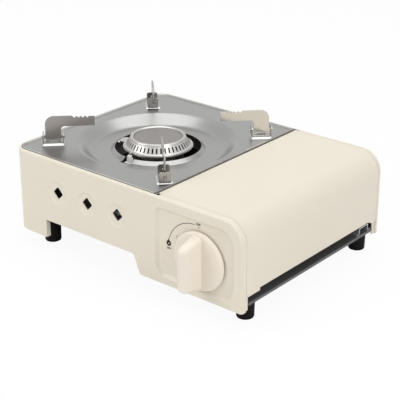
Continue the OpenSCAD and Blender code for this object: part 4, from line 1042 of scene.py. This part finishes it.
@dataclass
class Dial:
    """The printed marks in the knob's recess: an arc from OFF to ON, a tick, a dot and a sign.
    Sizes are millimetres, places are x and z from the body's left wall and the floor."""

    body: str = "stove_body"
    recess: float = 2.2
    ink: float = 0.05
    line: float = 0.55
    tick_r: float = 23.8
    tick_line: float = 0.35
    tick_turns: tuple[float, float] = (142.0, 152.0)
    arc_r: float = 30.0
    arc_middle: tuple[float, float] = (226.6, 55.0)
    arc_turns: tuple[float, float] = (90.0, 164.0)
    off_place: tuple[float, float] = (230.6, 86.0)
    on_place: tuple[float, float] = (197.1, 53.6)
    ring_place: tuple[float, float] = (197.2, 58.4)
    ring_r: float = 1.65
    ring_line: float = 1.9
    peak_place: tuple[float, float] = (197.2, 60.3)
    peak_r: float = 1.2
    peak_rise: float = 1.4
    dot_place: tuple[float, float] = (231.0, 83.1)
    dot_r: float = 0.5
    letter: float = 2.0
    letter_share: float = 0.7
    letter_bold: float = 0.06

    def place(self, x: float, z: float) -> Vector:
        """Point on the recess floor, from the body's left wall and the floor it stands on."""
        corner = box("body_casing")[0]
        return Vector((corner.x + x * MM, corner.y + (self.recess - self.ink) * MM, z * MM))

    def band(
        self, name: str, middle: Vector, radius: float, turns: tuple[float, float], line: float
    ) -> bpy.types.Object:
        """Spin one edge-on strip into a flat band round a point.

        Args:
            name: the band's name.
            middle: the point it runs round.
            radius: the radius of its middle line, in millimetres.
            turns: the angles where it starts and ends, in degrees, 0 to the right and 90 up.
            line: its width in millimetres.

        Returns:
            The band.
        """
        reach = Vector((math.cos(math.radians(turns[0])), 0, math.sin(math.radians(turns[0]))))
        deselect()
        bpy.ops.mesh.primitive_plane_add(
            size=1, location=middle + reach * radius * MM,
            rotation=(math.pi / 2, -math.radians(turns[0]), 0),
        )
        band = bpy.context.object
        band.dimensions = (line * MM, 2 * self.ink * MM, 0)
        band.rotation_euler = (0, -math.radians(turns[0]), 0)
        settle(band, name)
        edit(band)
        sweep = turns[1] - turns[0]
        bpy.ops.mesh.spin(
            steps=max(8, int(sweep / 2)), angle=math.radians(sweep), center=middle, axis=INWARD
        )
        bpy.ops.mesh.select_all(action="SELECT")
        bpy.ops.mesh.remove_doubles(threshold=MM / 500)
        bpy.ops.mesh.normals_make_consistent(inside=False)
        bpy.ops.object.mode_set(mode="OBJECT")
        return band

    def spot(self, name: str, middle: Vector, radius: float, peak: float) -> bpy.types.Object:
        """Shape a flat spot whose top can be drawn up to a point.

        Args:
            name: the spot's name.
            middle: its centre.
            radius: its radius in millimetres.
            peak: how far its top is drawn up, in millimetres.

        Returns:
            The spot.
        """
        deselect()
        bpy.ops.mesh.primitive_cylinder_add(
            vertices=24, radius=radius * MM, depth=2 * self.ink * MM, location=middle,
            rotation=(math.pi / 2, 0, 0),
        )
        spot = settle(bpy.context.object, name)
        top = middle.z + 0.95 * radius * MM
        for vertex in spot.data.vertices:
            vertex.select = vertex.co.z > top
        for edge in spot.data.edges:
            edge.select = all(spot.data.vertices[k].select for k in edge.vertices)
        for face in spot.data.polygons:
            face.select = False
        pick(spot)
        bpy.ops.object.mode_set(mode="EDIT")
        bpy.ops.mesh.select_mode(type="VERT")
        bpy.ops.transform.translate(value=(0, 0, peak * MM))
        bpy.ops.object.mode_set(mode="OBJECT")
        return spot

    def word(self, text: str, place: tuple[float, float]) -> bpy.types.Object:
        """Set a short generic word in flat letters.

        Args:
            text: the word.
            place: its middle.

        Returns:
            The word as a mesh.
        """
        deselect()
        bpy.ops.object.text_add(location=self.place(*place), rotation=(math.pi / 2, 0, 0))
        word = bpy.context.object
        word.data.body = text
        word.data.size = self.letter * MM / self.letter_share
        word.data.align_x = "CENTER"
        word.data.align_y = "CENTER"
        word.data.extrude = self.ink * MM
        word.data.offset = self.letter_bold * MM
        bpy.ops.object.convert(target="MESH")
        return settle(bpy.context.object, f"dial_word_{text.lower()}")

    def build(self) -> None:
        """Build the marks and dress them as one print."""
        middle, full = self.place(*self.arc_middle), (0.0, 360.0)
        ring, peak = self.place(*self.ring_place), self.place(*self.peak_place)
        marks = [
            self.band("dial_arc", middle, self.arc_r, self.arc_turns, self.line),
            self.band("dial_tick", middle, self.tick_r, self.tick_turns, self.tick_line),
            self.band("dial_sign_ring", ring, self.ring_r, full, self.ring_line),
            self.spot("dial_sign_peak", peak, self.peak_r, self.peak_rise),
            self.spot("dial_dot", self.place(*self.dot_place), self.dot_r, 0.0),
            self.word("OFF", self.off_place),
            self.word("ON", self.on_place),
        ]
        fit(joined(marks, "dial_print"), DIAL_INK, "black_plastic", self.body)


# ------------------------------------------------------------------ studio


@dataclass
class Lamp:
    """One soft lamp: its name, place, aim, side length and power in watts."""

    name: str
    place: tuple[float, float, float]
    aim: tuple[float, float, float]
    side: float
    power: float

    def build(self) -> None:
        """Add the lamp and turn it to what it lights."""
        deselect()
        bpy.ops.object.light_add(type="AREA", location=self.place)
        lamp = bpy.context.object
        lamp.name = self.name
        lamp.data.size = self.side
        lamp.data.energy = self.power
        turn = Vector(self.aim) - Vector(self.place)
        lamp.rotation_euler = turn.to_track_quat("-Z", "Y").to_euler()


@dataclass
class Studio:
    """Pale floor, soft lamps, white surroundings and the camera."""

    ambient: float = 0.38
    floor_side: float = 12.0
    floor_rgb: tuple[int, int, int] = (250, 250, 250)
    floor_shadow: float = 0.06
    camera_place: tuple[float, float, float] = (0.6689, -0.7816, 0.5069)
    camera_aim: tuple[float, float, float] = (0.00635, 0.0108, 0.050)
    lens_mm: float = 105.77
    sensor_mm: float = 36.0

    def world(self) -> None:
        """Light the object with an even sky that shows white behind it and in its gloss."""
        world = bpy.data.worlds.new("pale_surroundings")
        bpy.context.scene.world = world
        world.use_nodes = True
        world.node_tree.nodes.clear()
        sheet = Sheet(world.node_tree)
        path = sheet.add("ShaderNodeLightPath")
        seen = sheet.add("ShaderNodeMath", {"operation": "MAXIMUM"})
        sheet.join(path.outputs["Is Camera Ray"], seen.inputs[0])
        sheet.join(path.outputs["Is Glossy Ray"], seen.inputs[1])
        any_seen = sheet.add("ShaderNodeMath", {"operation": "MAXIMUM"})
        sheet.join(seen.outputs[0], any_seen.inputs[0])
        sheet.join(path.outputs["Is Transmission Ray"], any_seen.inputs[1])
        dim = sheet.add("ShaderNodeBackground", Color=(1.0, 1.0, 1.0, 1.0), Strength=self.ambient)
        white = sheet.add("ShaderNodeBackground", Color=(1.0, 1.0, 1.0, 1.0), Strength=1.0)
        mix = sheet.add("ShaderNodeMixShader")
        sheet.join(any_seen.outputs[0], mix.inputs[0])
        sheet.join(dim.outputs[0], mix.inputs[1])
        sheet.join(white.outputs[0], mix.inputs[2])
        output = sheet.add("ShaderNodeOutputWorld")
        sheet.join(mix.outputs[0], output.inputs["Surface"])

    def floor(self) -> None:
        """Lay the floor, white to the camera apart from the object's soft shadow."""
        deselect()
        bpy.ops.mesh.primitive_plane_add(size=self.floor_side, location=(0, 0, 0))
        floor = bpy.context.object
        floor.name = "studio_floor"
        material = bpy.data.materials.new("floor_paper")
        material.use_nodes = True
        material.node_tree.nodes.clear()
        sheet = Sheet(material.node_tree)
        path = sheet.add("ShaderNodeLightPath")
        share = sheet.add("ShaderNodeMath", {"operation": "MULTIPLY"})
        sheet.join(path.outputs["Is Camera Ray"], share.inputs[0])
        share.inputs[1].default_value = 1 - self.floor_shadow
        paper = sheet.add("ShaderNodeBsdfDiffuse", Color=linear(self.floor_rgb))
        glow = sheet.add("ShaderNodeEmission", Color=(1.0, 1.0, 1.0, 1.0), Strength=1.0)
        mix = sheet.add("ShaderNodeMixShader")
        sheet.join(share.outputs[0], mix.inputs[0])
        sheet.join(paper.outputs[0], mix.inputs[1])
        sheet.join(glow.outputs[0], mix.inputs[2])
        output = sheet.add("ShaderNodeOutputMaterial")
        sheet.join(mix.outputs[0], output.inputs["Surface"])
        floor.data.materials.append(material)

    def lamps(self) -> None:
        """Hang the lamps: one over the front left, one over the right, one above."""
        aim = (0.0, 0.0, 0.05)
        Lamp("front_left_softbox", (-1.0, -1.4, 1.1), aim, 1.0, 10.0).build()
        Lamp("right_softbox", (1.7, -0.5, 1.1), aim, 1.0, 11.5).build()
        Lamp("top_softbox", (0.0, 0.1, 1.7), aim, 1.9, 15.5).build()

    def camera(self) -> None:
        """Set the camera where the photograph was taken from."""
        deselect()
        bpy.ops.object.camera_add(location=self.camera_place)
        camera = bpy.context.object
        turn = Vector(self.camera_aim) - Vector(self.camera_place)
        camera.rotation_euler = turn.to_track_quat("-Z", "Y").to_euler()
        camera.data.lens = self.lens_mm
        camera.data.sensor_width = self.sensor_mm
        camera.data.clip_start = 0.01
        bpy.context.scene.camera = camera

    def build(self) -> None:
        """Set up the whole studio."""
        bpy.context.scene.view_settings.view_transform = "Standard"
        self.world()
        self.floor()
        self.lamps()
        self.camera()


# ------------------------------------------------------------------ the stove


class Assembly(Protocol):
    """One sub-assembly of the stove, which builds and dresses its own pieces."""

    def build(self) -> None:
        """Add the pieces to the scene."""


def main() -> None:
    """Build the shared effects, dress the CAD nodes, add the finer pieces and set up the studio."""
    logging.basicConfig(level=logging.INFO, format="%(name)s: %(message)s")
    for make in (surface_grain, drifting_tint, rubbed_gloss):
        make()
    dress_nodes()
    assemblies: list[Assembly] = [TopPlate(), Burner(), Knob(), Dial()]
    assemblies += [PanSupport(corner) for corner in CORNERS if corner != "rear_right"]
    # The rear right support gets a brighter steel, a painted reflection of the light on its broad
    # face.
    assemblies.append(PanSupport("rear_right", REFLECTION_SUPPORT_STEEL))
    for assembly in assemblies:
        assembly.build()
        log.info("%s built", type(assembly).__name__)
    Studio().build()


if __name__ == "__main__":
    main()
